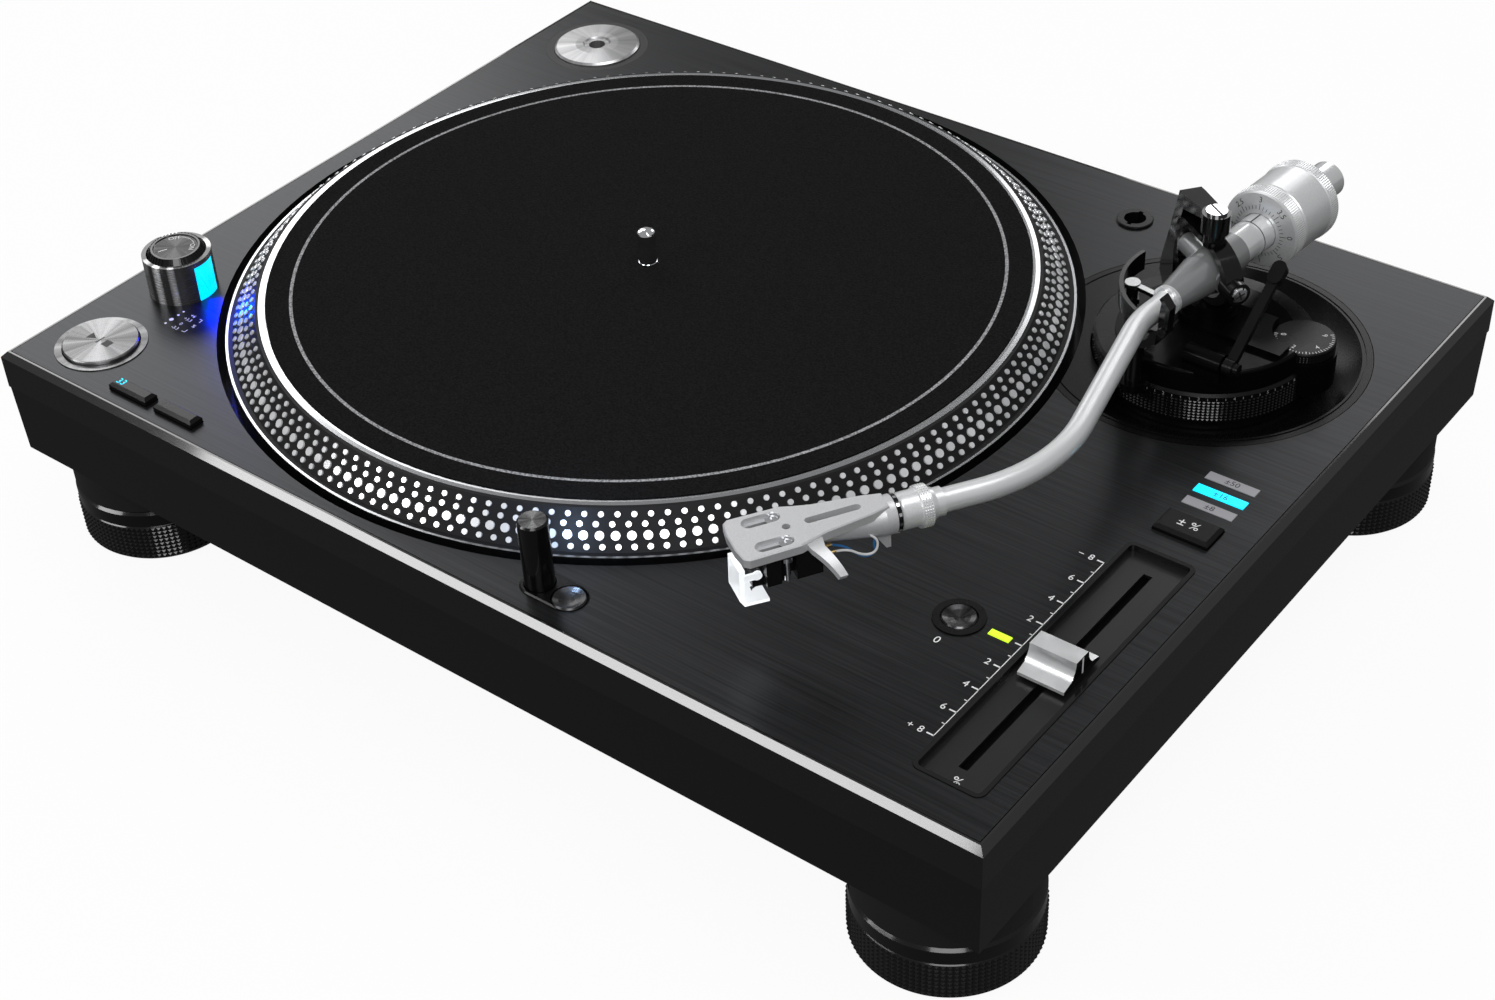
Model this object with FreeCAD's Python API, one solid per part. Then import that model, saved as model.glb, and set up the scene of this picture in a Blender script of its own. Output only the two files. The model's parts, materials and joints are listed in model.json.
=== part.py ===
import FreeCAD, Part
import math
import os

# A direct-drive disc turntable with an S-shaped tonearm, in millimetres.
# Origin: on the floor, under the middle of the case. +X to the right, +Y to the back, +Z up.

Vector = FreeCAD.Vector
Rotation = FreeCAD.Rotation
Placement = FreeCAD.Placement

# Case, from the floor up
CASE_W = 453.0
CASE_D = 353.0
FOOT_H = 24.4
COLLAR_H = 14.3
LOWER_H = 30.1
UPPER_H = 16.2
CASE_CHAMFER = 2.2
CASE_WALL = 8.0
CASE_DRAFT = 0.7
CASE_SEAM = 0.4
UPPER_WALL = 6.0
WEB_T = 5.0
FLOOR_T = 4.0
COVER_T = 2.5
COVER_INSET = 12.0
PLATE_T = 3.0
PLATE_EDGE = 3.0
PLATE_SEAM = 0.3

# Clearances
BODY_GAP = 0.3
FIT_GAP = 0.1
RUN_GAP = 0.06
PIN_GAP = 0.05

# Feet
FOOT_INSET_X = 34.8
FOOT_INSET_FRONT = 34.3
FOOT_INSET_BACK = 35.1
FOOT_R = 32.7
FOOT_BAND_H = 7.4
FOOT_EDGE = 1.5
COLLAR_R = 32.4
STEM_R = 6.0
STEM_REACH = 5.0

# Platter, mat, spindle and drive
PLATTER_INSET = 12.2
PLATTER_Y = 0.2
WELL_GAP = 3.5
CUP_WALL = 3.0
CUP_FLOOR_Z = 60.0
CUP_FLOOR_T = 3.0
CUP_HOLE_R = 57.0
PLATTER_R = 166.0
PLATTER_LIP = 2.7
PLATTER_LIP_Z = 0.4
MAT_RING_W = 3.9
BAND_TOP_Z = 11.8
RIM_W = 17.0
MAT_EDGE_Z = 12.1
MAT_TOP_Z = 12.5
MAT_T = 2.9
RIM_T = 6.0
RIM_CLEAR = 3.0
PLATTER_WEB = 5.0
HUB_R = 10.0
HUB_DROP = 9.0
SPINDLE_R = 3.6
SHAFT_LOW_R = 3.8
SPINDLE_TOP = 27.0
SPINDLE_DOME = 1.6
MAGNET_R = 55.0
MAGNET_BORE_R = 36.0
MAGNET_H = 8.0
MAGNET_SKIRT = 3.0
STATOR_R = 62.0
STATOR_T = 1.6
COIL_COUNT = 12
COIL_IN_R = 17.0
COIL_OUT_R = 33.0
COIL_W = 6.0
COIL_H = 9.5
BEARING_R = 9.0
BEARING_FLANGE_R = 20.0
BEARING_FLANGE_T = 3.3
BEARING_FLOOR = 6.0

# Strobe tower with the power knob in its top
TOWER_INSET_X = 25.8
TOWER_INSET_Y = 72.4
TOWER_R = 13.7
TOWER_H = 17.2
TOWER_WALL = 1.8
KNOB_SEAT = 5.0
KNOB_FACE_R = 8.9
KNOB_RISE = 2.0
WINDOW_ARC = 44.0
WINDOW_TURN = 10.0
WINDOW_T = 1.0
WINDOW_H = 15.0

# Stems of the buttons, keys and knobs
BUTTON_STEM_R = 1.8
STEM_DROP = 1.0

# Start and stop button
START_INSET_X = 29.3
START_INSET_Y = 26.4
START_BEZEL_R = 18.05
START_R = 15.0
START_RISE = 2.0
BEZEL_RISE = 0.4
BUTTON_TRAVEL = 1.2

# Speed keys
KEY_33_INSET_X = 65.2
KEY_45_INSET_X = 90.2
KEY_INSET_Y = 11.5
KEY_W = 20.5
KEY_D = 6.0
KEY_RISE = 3.0
KEY_BEVEL = 1.2
KEY_TRAVEL = 0.6

# Pill bezel with the pop-up stylus light and its push button
PILL_X = 44.8
PILL_INSET_Y = 16.8
PILL_W = 26.8
PILL_D = 13.9
PILL_RISE = 0.8
LIGHT_X = 38.6
LIGHT_INSET_Y = 16.6
LIGHT_R = 5.4
LIGHT_H = 28.0
LIGHT_TRAVEL = 27.0
LIGHT_BEVEL = 0.6
LIGHT_LENS_R = 2.0
LIGHT_LENS_DROP = 4.0
PUSH_X = 51.9
PUSH_INSET_Y = 16.3
PUSH_R = 6.1
PUSH_RISE = 0.9

# Tempo fader and what stands beside it
FADER_INSET_X = 25.4
FADER_INSET_Y = 83.0
FADER_W = 26.2
FADER_D = 131.2
FADER_CORNER = 3.3
FADER_RIM = 1.6
FADER_RECESS = 2.3
FADER_TRAY_DEPTH = 9.0
SLOT_W = 3.3
SLOT_END = 1.0
FADER_TRAVEL = 50.5
FADER_KNOB_W = 17.4
FADER_KNOB_D = 21.0
FADER_KNOB_TOP = 7.5
FADER_KNOB_SHIFT = -1.0
FADER_RIDGE_W = 7.0
FADER_SHELF_W = 12.8
FADER_SHELF_Z = 1.4
FADER_SKIRT_TOP_Z = 0.3
FADER_SKIRT_LOW_Z = -0.9
FADER_STEM_W = 2.4
FADER_STEM_D = 8.0
FADER_TRAY_FLOOR = 1.2
FADER_SLIDE_GAP = 0.6
FADER_SLIDER_W = 15.6
FADER_SLIDER_T = 1.6
RESET_INSET_X = 63.6
RESET_INSET_Y = 82.9
RESET_RING_R = 9.0
RESET_R = 6.1
LAMP_INSET_X = 47.8
LAMP_W = 7.8
LAMP_D = 2.8
RANGE_LAMP_INSET_X = 25.1
RANGE_LAMP_INSETS = (194.8, 186.5, 178.6)
RANGE_LAMP_W = 19.3
RANGE_LAMP_D = 4.4
LAMP_RISE = 0.25
RANGE_INSET_X = 25.3
RANGE_INSET_Y = 164.5
RANGE_W = 21.0
RANGE_D = 12.0
RANGE_RISE = 2.2

# Adapter recess and headshell storage socket
ADAPTER_INSET_X = 34.1
ADAPTER_INSET_Y = 34.9
ADAPTER_R = 19.5
ADAPTER_RING_R = 23.4
ADAPTER_BORE_R = 3.75
ADAPTER_DEPTH = 4.0
ADAPTER_RISE = 1.6
SOCKET_INSET_X = 140.0
SOCKET_INSET_Y = 28.6
SOCKET_FLANGE_R = 7.4
SOCKET_R = 4.4
SOCKET_BODY_R = 6.2
SOCKET_RISE = 1.0
SOCKET_DEPTH = 18.0
SOCKET_KEY_W = 2.0
SOCKET_KEY_R = 5.5

# Tonearm well, height ring and base, round the arm's own axis
ARM_INSET_X = 74.0
ARM_INSET_Y = 90.7
INSERT_R = 61.5
WELL_BODY_R = 59.0
DISH_R = 57.5
DISH_FOOT_R = 42.0
DISH_DEPTH = 9.5
DISH_FLOOR_T = 3.5
LAND_FROM = 110.0
LAND_TO = 250.0
RING_R = 41.0
RING_SKIRT_R = 39.5
RING_TOP_Z = 7.0
RING_BEVEL = 1.0
KNURL_FOOT_Z = -5.0
RING_FOOT_Z = -9.0
BARREL_R = 33.0
BARREL_WALL = 6.0
BARREL_LOW_Z = -15.0
BARREL_RISE = 0.5
DRUM_R = 39.8
DRUM_TOP_Z = 16.0
DRUM_LEFT = -6.6
DRUM_BACK = 8.0
DECK_SLAB_TOP_Z = 17.8
DECK_SLAB_FRONT = -13.3
DECK_SLAB_LEFT = 2.4
DECK_SLAB_RIGHT = 36.4
COLUMN_STEPS = ((12.0, 19.0), (10.5, 21.0), (9.0, 22.7))
LOWER_PIN_R = 1.5
LOWER_PIN_H = 1.6

# Anti-skate dial
SKATE_X = 36.5
SKATE_Y = 5.9
SKATE_R = 11.5
SKATE_TOP_Z = 15.0
SKATE_H = 4.0
SKATE_HOUSE_R = 12.3
SKATE_APRON_Z = -2.5
SKATE_STEM_R = 2.0
SKATE_STEM_H = 2.5

# Cue lever and lift
AXLE_Y = -33.7
AXLE_Z = 21.0
AXLE_R = 1.6
AXLE_FROM = 10.2
AXLE_HOUSE_END = 24.7
AXLE_HOUSE_R = 4.0
LEVER_X = 27.1
LEVER_W = 3.6
LEVER_REACH_Y = 34.9
LEVER_REACH_Z = 25.0
PADDLE_W = 5.4
PADDLE_L = 9.0
AXLE_TIP = 30.9
RAIL_R = 32.0
RAIL_T = 1.6
RAIL_TOP_Z = 27.5
RAIL_H = 8.0
RAIL_FROM = 168.0
RAIL_TO = 262.0
LIFT_AZIMUTH = 213.5
LIFT_R = 27.9
LIFT_PIN_R = 2.2
LIFT_CAP_R = 2.9
LIFT_CAP_Z = 28.6
LIFT_CAP_H = 2.0
LIFT_SINK = 5.0
LIFT_BAR_END_X = -12.1
LIFT_BAR_END_Y = -17.1
LIFT_BAR_W = 2.4
LIFT_BRIDGE_Z = 20.5
LIFT_BRIDGE_T = 2.0

# Pivot, yoke and gimbal
PIVOT_Z = 35.24
GIMBAL_AZIMUTH = -32.2
ARM_TURN = 4.26
ARM_PITCH = 0.55
RING_HALF_W = 17.5
RING_HALF_H = 12.2
RING_WALL_W = 4.3
RING_WALL_H = 2.5
RING_LEFT = 21.4
RING_LEFT_WALL = 3.0
GIMBAL_T = 7.0
NECK_R = 4.0
NECK_TOP_Z = 50.2
BOSS_R = 4.4
BOSS_REACH = 20.3
CROSS_PIN_R = 1.5
YOKE_AZIMUTH = -39.0
YOKE_W = 8.4
YOKE_NOSE_W = 6.4
YOKE_FOOT_TOP_Z = 14.0
YOKE_FOOT_REACH = 33.0
YOKE_OUTSIDE = ((37.2, 12.0), (36.6, 17.6), (31.2, 32.9), (24.3, 54.2))
YOKE_INSIDE = ((20.2, 48.6), (23.2, 37.7), (25.5, 27.5), (24.9, 22.0))
YOKE_BRIDGE_TOP_Z = 58.3
YOKE_BRIDGE_LOW_Z = 53.4
YOKE_NOSE_Z = 50.6
CAP_BOSS_R = 5.25
CAP_BOSS_TOP_Z = 58.4
CAP_SCREW_R = 3.9
CAP_SCREW_TOP_Z = 59.4
CAP_SCREW_DEPTH = 2.0
CAP_SLOT_W = 0.9
CAP_SLOT_T = 0.6

# Arm hub, rear shaft and counterweight, along the arm's own axis
HUB_PROFILE = ((-14.0, 7.1), (-13.0, 7.9), (6.0, 8.0), (9.0, 7.9), (22.0, 6.0), (27.2, 5.3), (27.4, 5.65),
               (28.9, 5.65))
CROSS_BOSS_R = 4.6
CROSS_BOSS_REACH = 11.0
SLEEVE_R = 4.2
SHAFT_R = 7.1
SHAFT_END = 79.5
SHAFT_BORE_R = 5.2
SHAFT_BORE_L = 12.0
DIAL_FACE_S = 31.2
DIAL_HOLE_R = 7.3
DIAL_EDGE_S = 33.1
DIAL_KNURL_S = 38.8
DIAL_R = 15.5
DIAL_FACE_R = 13.9
WEIGHT_FRONT_S = 39.1
WEIGHT_GROOVE_S = 56.2
WEIGHT_REAR_S = 61.8
WEIGHT_R = 15.4
WEIGHT_KNURL_R = 15.7
WEIGHT_EDGE = 0.8

# S-shaped tube, in plan from the pivot
TUBE_R = 4.1
TUBE_BORE_R = 3.2
BEND_A_S = 46.0
BEND_A_TURN = 18.0
BEND_A_R = 45.0
BEND_B_S = 134.3
BEND_B_TURN = -46.0
BEND_B_R = 66.0

# Collar, headshell and cartridge, measured from the second bend's corner along the last line
FERRULE_START = 40.75
FERRULE_END = 55.75
FERRULE_R = 4.9
FERRULE_BORE_R = 4.0
COLLAR_NUT_START = 43.75
COLLAR_NUT_END = 56.05
COLLAR_NUT_R = 6.3
COLLAR_KNURL_START = 45.75
COLLAR_KNURL_END = 49.45
COLLAR_KNURL_R = 7.1
SHELL_REAR = 56.35
SHELL_WASHER_R = 6.3
SHELL_WASHER_END = 58.15
SHELL_NECK_R = 6.6
SHELL_NECK_END = 61.75
SHELL_PLUG_R = 3.9
SHELL_PLUG_L = 10.0
SHELL_TOP_Z = 5.3
SHELL_T = 3.4
SHELL_FALL = 1.43
SHELL_OUTLINE = ((60.25, 3.6), (66.75, 5.2), (83.25, 7.6), (88.65, 9.2), (92.75, 10.6), (110.25, 11.0),
                 (111.95, 9.6))
SHELL_FRONT = 112.85
SHELL_CONE_END = 82.25
SHELL_LUG_FRONT = 64.25
SHELL_LUG_REAR = 59.25
SHELL_LUG_DROP = 13.5
SHELL_LUG_W = 3.2
SCREW_SPACING = 12.7
SCREW_SLOT_FROM = 93.85
SCREW_SLOT_TO = 106.85
SCREW_SLOT_W = 2.6
SCREW_SINK_W = 5.0
SCREW_SINK = 2.2
SCREW_AT = 96.65
MID_HOLE_AT = 94.05
MID_HOLE_R = 1.4
LONG_SLOT_FROM = 68.75
LONG_SLOT_TO = 87.75
LONG_SLOT_W = 2.9
LIFT_ROOT_FROM = 84.65
LIFT_ROOT_TO = 91.65
FINGER_TIP_SIDE = 21.9
FINGER_TIP_AT = 82.8
FINGER_DROP = 5.4
FINGER_T = 1.6
FINGER_TIP_W = 2.4
CARTRIDGE_FROM = 85.25
CARTRIDGE_TO = 104.25
CARTRIDGE_W = 16.6
CARTRIDGE_H = 12.0
EAR_T = 2.6
NUT_POCKET = 5.2
NUT_R = 2.3
NUT_T = 1.7
CART_SCREW_L = 12.5
NOSE_TO = 107.85
NOSE_W = 8.0
NOSE_TOP = -3.6
NOSE_H = 9.4
STYLUS_AT = 107.2
STYLUS_TIP_Z = -16.8
PIN_ROWS = (-5.4, -1.8, 1.8, 5.4)
LEAD_PIN_R = 0.6
LEAD_PIN_L = 5.5
LEAD_PIN_RISE = 4.5
CART_SCREW_R = 1.15
CART_SCREW_HEAD_R = 2.2
CART_SCREW_HEAD_T = 1.2
GUARD_PIVOT_AT = 106.3
GUARD_PIVOT_Z = -7.0
GUARD_W = 10.5
GUARD_ARM_T = 0.95
GUARD_EYE_R = 1.6
GUARD_STUD_R = 0.6
GUARD_STUD_L = 0.6
GUARD_TOP_Z = -3.5
GUARD_LOW_Z = -18.5
GUARD_BACK_AT = 110.4
GUARD_FRONT_AT = 112.4
GUARD_LIP_AT = 102.8

# Arm rest and its clamp
REST_S = 45.5
REST_AZIMUTH = 264.3
REST_POST_R = 3.4
REST_FOOT_R = 3.7
REST_FOOT_Z = 5.8
REST_EYE_R = 5.0
REST_EYE_T = 2.6
REST_PIN_R = 2.4
REST_POST_TOP_Z = 22.5
CRADLE_GAP = 1.9
CRADLE_W = 6.0
CRADLE_T = 3.0
LUG_REACH = 8.4
LUG_TOP_Z = 30.0
FIN_FROM = 5.6
FIN_TO = 8.4
FIN_TOP_Z = 45.0
FIN_BACK = 7.6
CLAMP_W = 4.2
CLAMP_T = 1.6
CLAMP_PIVOT_SIDE = 10.3
CLAMP_PIVOT_Z = 36.5
CLAMP_EYE_R = 1.7
CLAMP_PIN_R = 0.7

# Rear recess with the jacks, the ground post and the mains inlet
RECESS_INSET_X = 116.5
RECESS_W = 150.0
RECESS_LOW = 44.0
RECESS_HIGH = 66.0
RECESS_DEPTH = 14.0
RECESS_WALL = 2.0
JACK_OFFSETS = (50.0, 36.0)
JACK_R = 4.15
JACK_PIN_R = 1.65
JACK_L = 9.0
JACK_SHOULDER_R = 5.6
JACK_SHOULDER_T = 2.0
GROUND_OFFSET = 18.0
GROUND_R = 4.5
GROUND_L = 8.0
INLET_OFFSET = -40.0
INLET_W = 30.0
INLET_H = 18.6
INLET_OPEN_W = 24.6
INLET_OPEN_H = 16.4
INLET_DEPTH = 18.0
INLET_BLADES = ((-7.0, -2.0), (7.0, -2.0), (0.0, 2.0))
BLADE_W = 4.0
BLADE_T = 2.0
BLADE_L = 10.0

# Boards, supply and cover screws inside
BOARD_INSET_X = 111.5
BOARD_INSET_Y = 66.5
BOARD_W = 120.0
BOARD_D = 80.0
BOARD_T = 1.6
STANDOFF_H = 4.0
STANDOFF_R = 3.0
SUPPLY_INSET_X = 96.5
SUPPLY_INSET_Y = 56.5
SUPPLY_W = 90.0
SUPPLY_D = 56.0
SUPPLY_H = 15.0
COVER_SCREW_INSET_X = 21.5
COVER_SCREW_INSET_Y = 76.5
COVER_SCREW_MID_X = 70.0
COVER_SCREW_R = 1.9
COVER_SCREW_HEAD_R = 3.6
COVER_SCREW_HEAD_T = 1.6

# Places that follow from the case's edges
LEFT = -CASE_W / 2
RIGHT = CASE_W / 2
FRONT = -CASE_D / 2
BACK = CASE_D / 2
FOOT_X = RIGHT - FOOT_INSET_X
MAT_EDGE_R = PLATTER_R - RIM_W
BAND_TOP_R = MAT_EDGE_R + MAT_RING_W
WELL_R = PLATTER_R + WELL_GAP
PLATTER_X = LEFT + PLATTER_INSET + WELL_R
TOWER_X = LEFT + TOWER_INSET_X
TOWER_Y = FRONT + TOWER_INSET_Y
START_X = LEFT + START_INSET_X
START_Y = FRONT + START_INSET_Y
KEY_33_X = LEFT + KEY_33_INSET_X
KEY_45_X = LEFT + KEY_45_INSET_X
KEY_Y = FRONT + KEY_INSET_Y
PILL_Y = FRONT + PILL_INSET_Y
LIGHT_Y = FRONT + LIGHT_INSET_Y
PUSH_Y = FRONT + PUSH_INSET_Y
FADER_X = RIGHT - FADER_INSET_X
FADER_Y = FRONT + FADER_INSET_Y
RESET_X = RIGHT - RESET_INSET_X
RESET_Y = FRONT + RESET_INSET_Y
LAMP_X = RIGHT - LAMP_INSET_X
RANGE_LAMP_X = RIGHT - RANGE_LAMP_INSET_X
RANGE_X = RIGHT - RANGE_INSET_X
RANGE_Y = FRONT + RANGE_INSET_Y
ADAPTER_X = LEFT + ADAPTER_INSET_X
ADAPTER_Y = BACK - ADAPTER_INSET_Y
SOCKET_X = RIGHT - SOCKET_INSET_X
SOCKET_Y = BACK - SOCKET_INSET_Y
ARM_X = RIGHT - ARM_INSET_X
ARM_Y = BACK - ARM_INSET_Y
RECESS_X = RIGHT - RECESS_INSET_X
BOARD_X = LEFT + BOARD_INSET_X
BOARD_Y = FRONT + BOARD_INSET_Y
SUPPLY_X = LEFT + SUPPLY_INSET_X
SUPPLY_Y = BACK - SUPPLY_INSET_Y
FOOT_Y_FRONT = FRONT + FOOT_INSET_FRONT
FOOT_Y_BACK = BACK - FOOT_INSET_BACK
RANGE_LAMP_YS = [FRONT + inset for inset in RANGE_LAMP_INSETS]
JACK_XS = [RECESS_X + offset for offset in JACK_OFFSETS]
GROUND_X = RECESS_X + GROUND_OFFSET
INLET_X = RECESS_X + INLET_OFFSET
COVER_SCREW_XS = (LEFT + COVER_SCREW_INSET_X, -COVER_SCREW_MID_X, COVER_SCREW_MID_X,
                  RIGHT - COVER_SCREW_INSET_X)
COVER_SCREW_YS = (FRONT + COVER_SCREW_INSET_Y, BACK - COVER_SCREW_INSET_Y)

# Heights that follow from the sizes above
COLLAR_TOP = FOOT_H + COLLAR_H
SPLIT_Z = COLLAR_TOP + LOWER_H
DECK = SPLIT_Z + UPPER_H
PLATE_BED = DECK - PLATE_T
WEB_LOW = PLATE_BED - WEB_T
CASE_FLOOR = COLLAR_TOP + FLOOR_T
MAT_TOP = DECK + MAT_TOP_Z
MAT_LOW = MAT_TOP - MAT_T
PLATTER_BED = MAT_LOW - FIT_GAP
CUP_FLOOR = CUP_FLOOR_Z + CUP_FLOOR_T
RIM_LOW = CUP_FLOOR + RIM_CLEAR
MAGNET_LOW = CUP_FLOOR + STATOR_T + 4.4
PIVOT = Vector(ARM_X, ARM_Y, DECK + PIVOT_Z)
FEET = {
    "foot_front_left": (-FOOT_X, FOOT_Y_FRONT),
    "foot_front_right": (FOOT_X, FOOT_Y_FRONT),
    "foot_back_left": (-FOOT_X, FOOT_Y_BACK),
    "foot_back_right": (FOOT_X, FOOT_Y_BACK),
}
STEM_TOP = CASE_FLOOR + STEM_REACH
SLOT_D = 2 * FADER_TRAVEL + FADER_STEM_D + 2 * SLOT_END
STEM_HOLE_R = BUTTON_STEM_R + BODY_GAP
BASE_LOW_Z = RING_TOP_Z + BODY_GAP + FIT_GAP
STEM_LOW = WEB_LOW - STEM_DROP

UP = Vector(0, 0, 1)


def box(x0, x1, y0, y1, z0, z1):
    """A box from its lowest to its highest corner."""
    return Part.makeBox(x1 - x0, y1 - y0, z1 - z0, Vector(x0, y0, z0))


def block(cx, cy, w, d, z0, z1):
    """A box centred in plan."""
    return box(cx - w / 2, cx + w / 2, cy - d / 2, cy + d / 2, z0, z1)


def disc(r, z0, z1, x=0.0, y=0.0):
    """An upright cylinder."""
    return Part.makeCylinder(r, z1 - z0, Vector(x, y, z0), UP)


def tube(r_out, r_in, z0, z1, x=0.0, y=0.0):
    """An upright cylinder with a bore."""
    return disc(r_out, z0, z1, x, y).cut(disc(r_in, z0 - 1, z1 + 1, x, y))


def rod(start, end, r):
    """A cylinder between two points."""
    run = end - start
    return Part.makeCylinder(r, run.Length, start, run)


def prism(points, z0, z1):
    """A straight-sided upright solid on a plan outline."""
    wire = Part.makePolygon([Vector(x, y, z0) for x, y in points + points[:1]])
    return Part.Face(wire).extrude(Vector(0, 0, z1 - z0))


def rounded(cx, cy, w, d, r, z0, z1):
    """A box with upright edges rounded to r."""
    solid = block(cx, cy, w, d, z0, z1)
    upright = [e for e in solid.Edges if abs(e.Vertexes[0].Z - e.Vertexes[-1].Z) > (z1 - z0) / 2]
    return solid.makeFillet(r, upright)


def turned(profile, x=0.0, y=0.0):
    """A solid turned round the upright axis from (radius, height) points."""
    points = [Vector(r, 0, z) for r, z in profile]
    face = Part.Face(Part.makePolygon(points + points[:1]))
    solid = face.revolve(Vector(0, 0, 0), UP, 360)
    solid.translate(Vector(x, y, 0))
    return solid


def turned_along(profile):
    """A solid turned round the X axis from (distance, radius) points, closed on the axis."""
    first, last = profile[0][0], profile[-1][0]
    points = [Vector(first, 0, 0)] + [Vector(s, 0, r) for s, r in profile] + [Vector(last, 0, 0)]
    face = Part.Face(Part.makePolygon(points + points[:1]))
    return face.revolve(Vector(0, 0, 0), Vector(1, 0, 0), 360)


def fused(shapes):
    """One solid from touching or overlapping shapes."""
    return shapes[0].multiFuse(shapes[1:]).removeSplitter()


def group(shapes):
    """Separate solids kept in one node."""
    return Part.makeCompound(shapes)


def placed(shape, placement):
    """A copy of a shape moved by a placement."""
    moved = shape.copy()
    moved.Placement = placement.multiply(moved.Placement)
    return moved


def top_edges(shape, z):
    """The edges of a shape that lie level at height z."""
    return [e for e in shape.Edges if all(abs(v.Z - z) < 1e-4 for v in e.Vertexes)
            and abs(e.BoundBox.ZMax - z) < 1e-3 and abs(e.BoundBox.ZMin - z) < 1e-3]


def bevelled(shape, z, size):
    """A shape whose level edges at height z are cut at 45 degrees."""
    return shape.makeChamfer(size, top_edges(shape, z))


def at_arm(shape):
    """A shape drawn round the arm's upright axis, with heights from the deck."""
    return placed(shape, Placement(Vector(ARM_X, ARM_Y, DECK), Rotation()))


def polar(r, azimuth, z=0.0):
    """A point at a radius and an azimuth in degrees."""
    a = math.radians(azimuth)
    return Vector(r * math.cos(a), r * math.sin(a), z)


def sector(r_out, r_in, start, end, z0, z1):
    """Part of a ring between two azimuths."""
    ring = Part.makeCylinder(r_out, z1 - z0, Vector(0, 0, z0), UP, end - start)
    ring = ring.cut(disc(r_in, z0 - 1, z1 + 1)) if r_in > 0 else ring
    ring.rotate(Vector(0, 0, 0), UP, start)
    return ring


ARM_FRAME = Placement(PIVOT, Rotation(UP, -90 - ARM_TURN) * Rotation(Vector(0, 1, 0), -ARM_PITCH))
GIMBAL_FRAME = Placement(PIVOT, Rotation(UP, GIMBAL_AZIMUTH))
YOKE_FRAME = Placement(PIVOT, Rotation(UP, YOKE_AZIMUTH))
BEND_B = Vector(BEND_B_S, (BEND_B_S - BEND_A_S) * math.tan(math.radians(BEND_A_TURN)), 0)
LAST_TURN = BEND_A_TURN + BEND_B_TURN
HEAD_FRAME = ARM_FRAME.multiply(Placement(BEND_B, Rotation(UP, LAST_TURN)))
SHELL_TILT = Placement(Vector(0, 0, 0), Rotation(Vector(0, 1, 0), SHELL_FALL),
                       Vector(SHELL_FRONT, 0, SHELL_TOP_Z))
SHELL_FRAME = HEAD_FRAME.multiply(SHELL_TILT)


def panel_cutters(z0, z1):
    """What the deck plate and the web under it are open for."""
    grow = FIT_GAP
    cutters = [disc(TOWER_R + grow, z0, z1, TOWER_X, TOWER_Y)]
    cutters.append(disc(START_BEZEL_R + grow, z0, z1, START_X, START_Y))
    for key_x in (KEY_33_X, KEY_45_X):
        cutters.append(block(key_x, KEY_Y, KEY_W + 2 * BODY_GAP, KEY_D + 2 * BODY_GAP, z0, z1))
    cutters.append(pill(grow, z0, z1))
    cutters.append(rounded(FADER_X, FADER_Y, FADER_W + 2 * grow, FADER_D + 2 * grow, FADER_CORNER, z0, z1))
    cutters.append(disc(RESET_RING_R + grow, z0, z1, RESET_X, RESET_Y))
    cutters.append(block(LAMP_X, RESET_Y, LAMP_W + 2 * grow, LAMP_D + 2 * grow, z0, z1))
    for lamp_y in RANGE_LAMP_YS:
        cutters.append(block(RANGE_LAMP_X, lamp_y, RANGE_LAMP_W + 2 * grow, RANGE_LAMP_D + 2 * grow, z0, z1))
    cutters.append(block(RANGE_X, RANGE_Y, RANGE_W + 2 * BODY_GAP, RANGE_D + 2 * BODY_GAP, z0, z1))
    cutters.append(disc(ADAPTER_RING_R + grow, z0, z1, ADAPTER_X, ADAPTER_Y))
    cutters.append(disc(SOCKET_BODY_R + grow, z0, z1, SOCKET_X, SOCKET_Y))
    return cutters


def web_cutters(z0, z1):
    """Where pieces of the panel pass the web under the plate."""
    stem = STEM_HOLE_R
    cutters = [disc(stem, z0, z1, START_X, START_Y)]
    for key_x in (KEY_33_X, KEY_45_X):
        cutters.append(disc(stem, z0, z1, key_x, KEY_Y))
    cutters.append(disc(LIGHT_R + 2.0, z0, z1, LIGHT_X, LIGHT_Y))
    cutters.append(disc(stem, z0, z1, PUSH_X, PUSH_Y))
    tray = FIT_GAP - FADER_RIM
    cutters.append(block(FADER_X, FADER_Y, FADER_W + 2 * tray, FADER_D + 2 * tray, z0, z1))
    cutters.append(disc(stem, z0, z1, RESET_X, RESET_Y))
    cutters.append(disc(stem, z0, z1, RANGE_X, RANGE_Y))
    cutters.append(disc(SOCKET_BODY_R + FIT_GAP, z0, z1, SOCKET_X, SOCKET_Y))
    cutters.append(disc(ADAPTER_R + 1.5, z0, z1, ADAPTER_X, ADAPTER_Y))
    cutters.append(disc(stem, z0, z1, TOWER_X, TOWER_Y))
    return cutters


def pill(grow, z0, z1):
    """A bar with round ends, grown by a clearance."""
    w, d = PILL_W + 2 * grow, PILL_D + 2 * grow
    half = (w - d) / 2
    middle = block(PILL_X, PILL_Y, 2 * half, d, z0, z1)
    ends = [disc(d / 2, z0, z1, PILL_X + side * half, PILL_Y) for side in (-1, 1)]
    return fused([middle] + ends)


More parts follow.
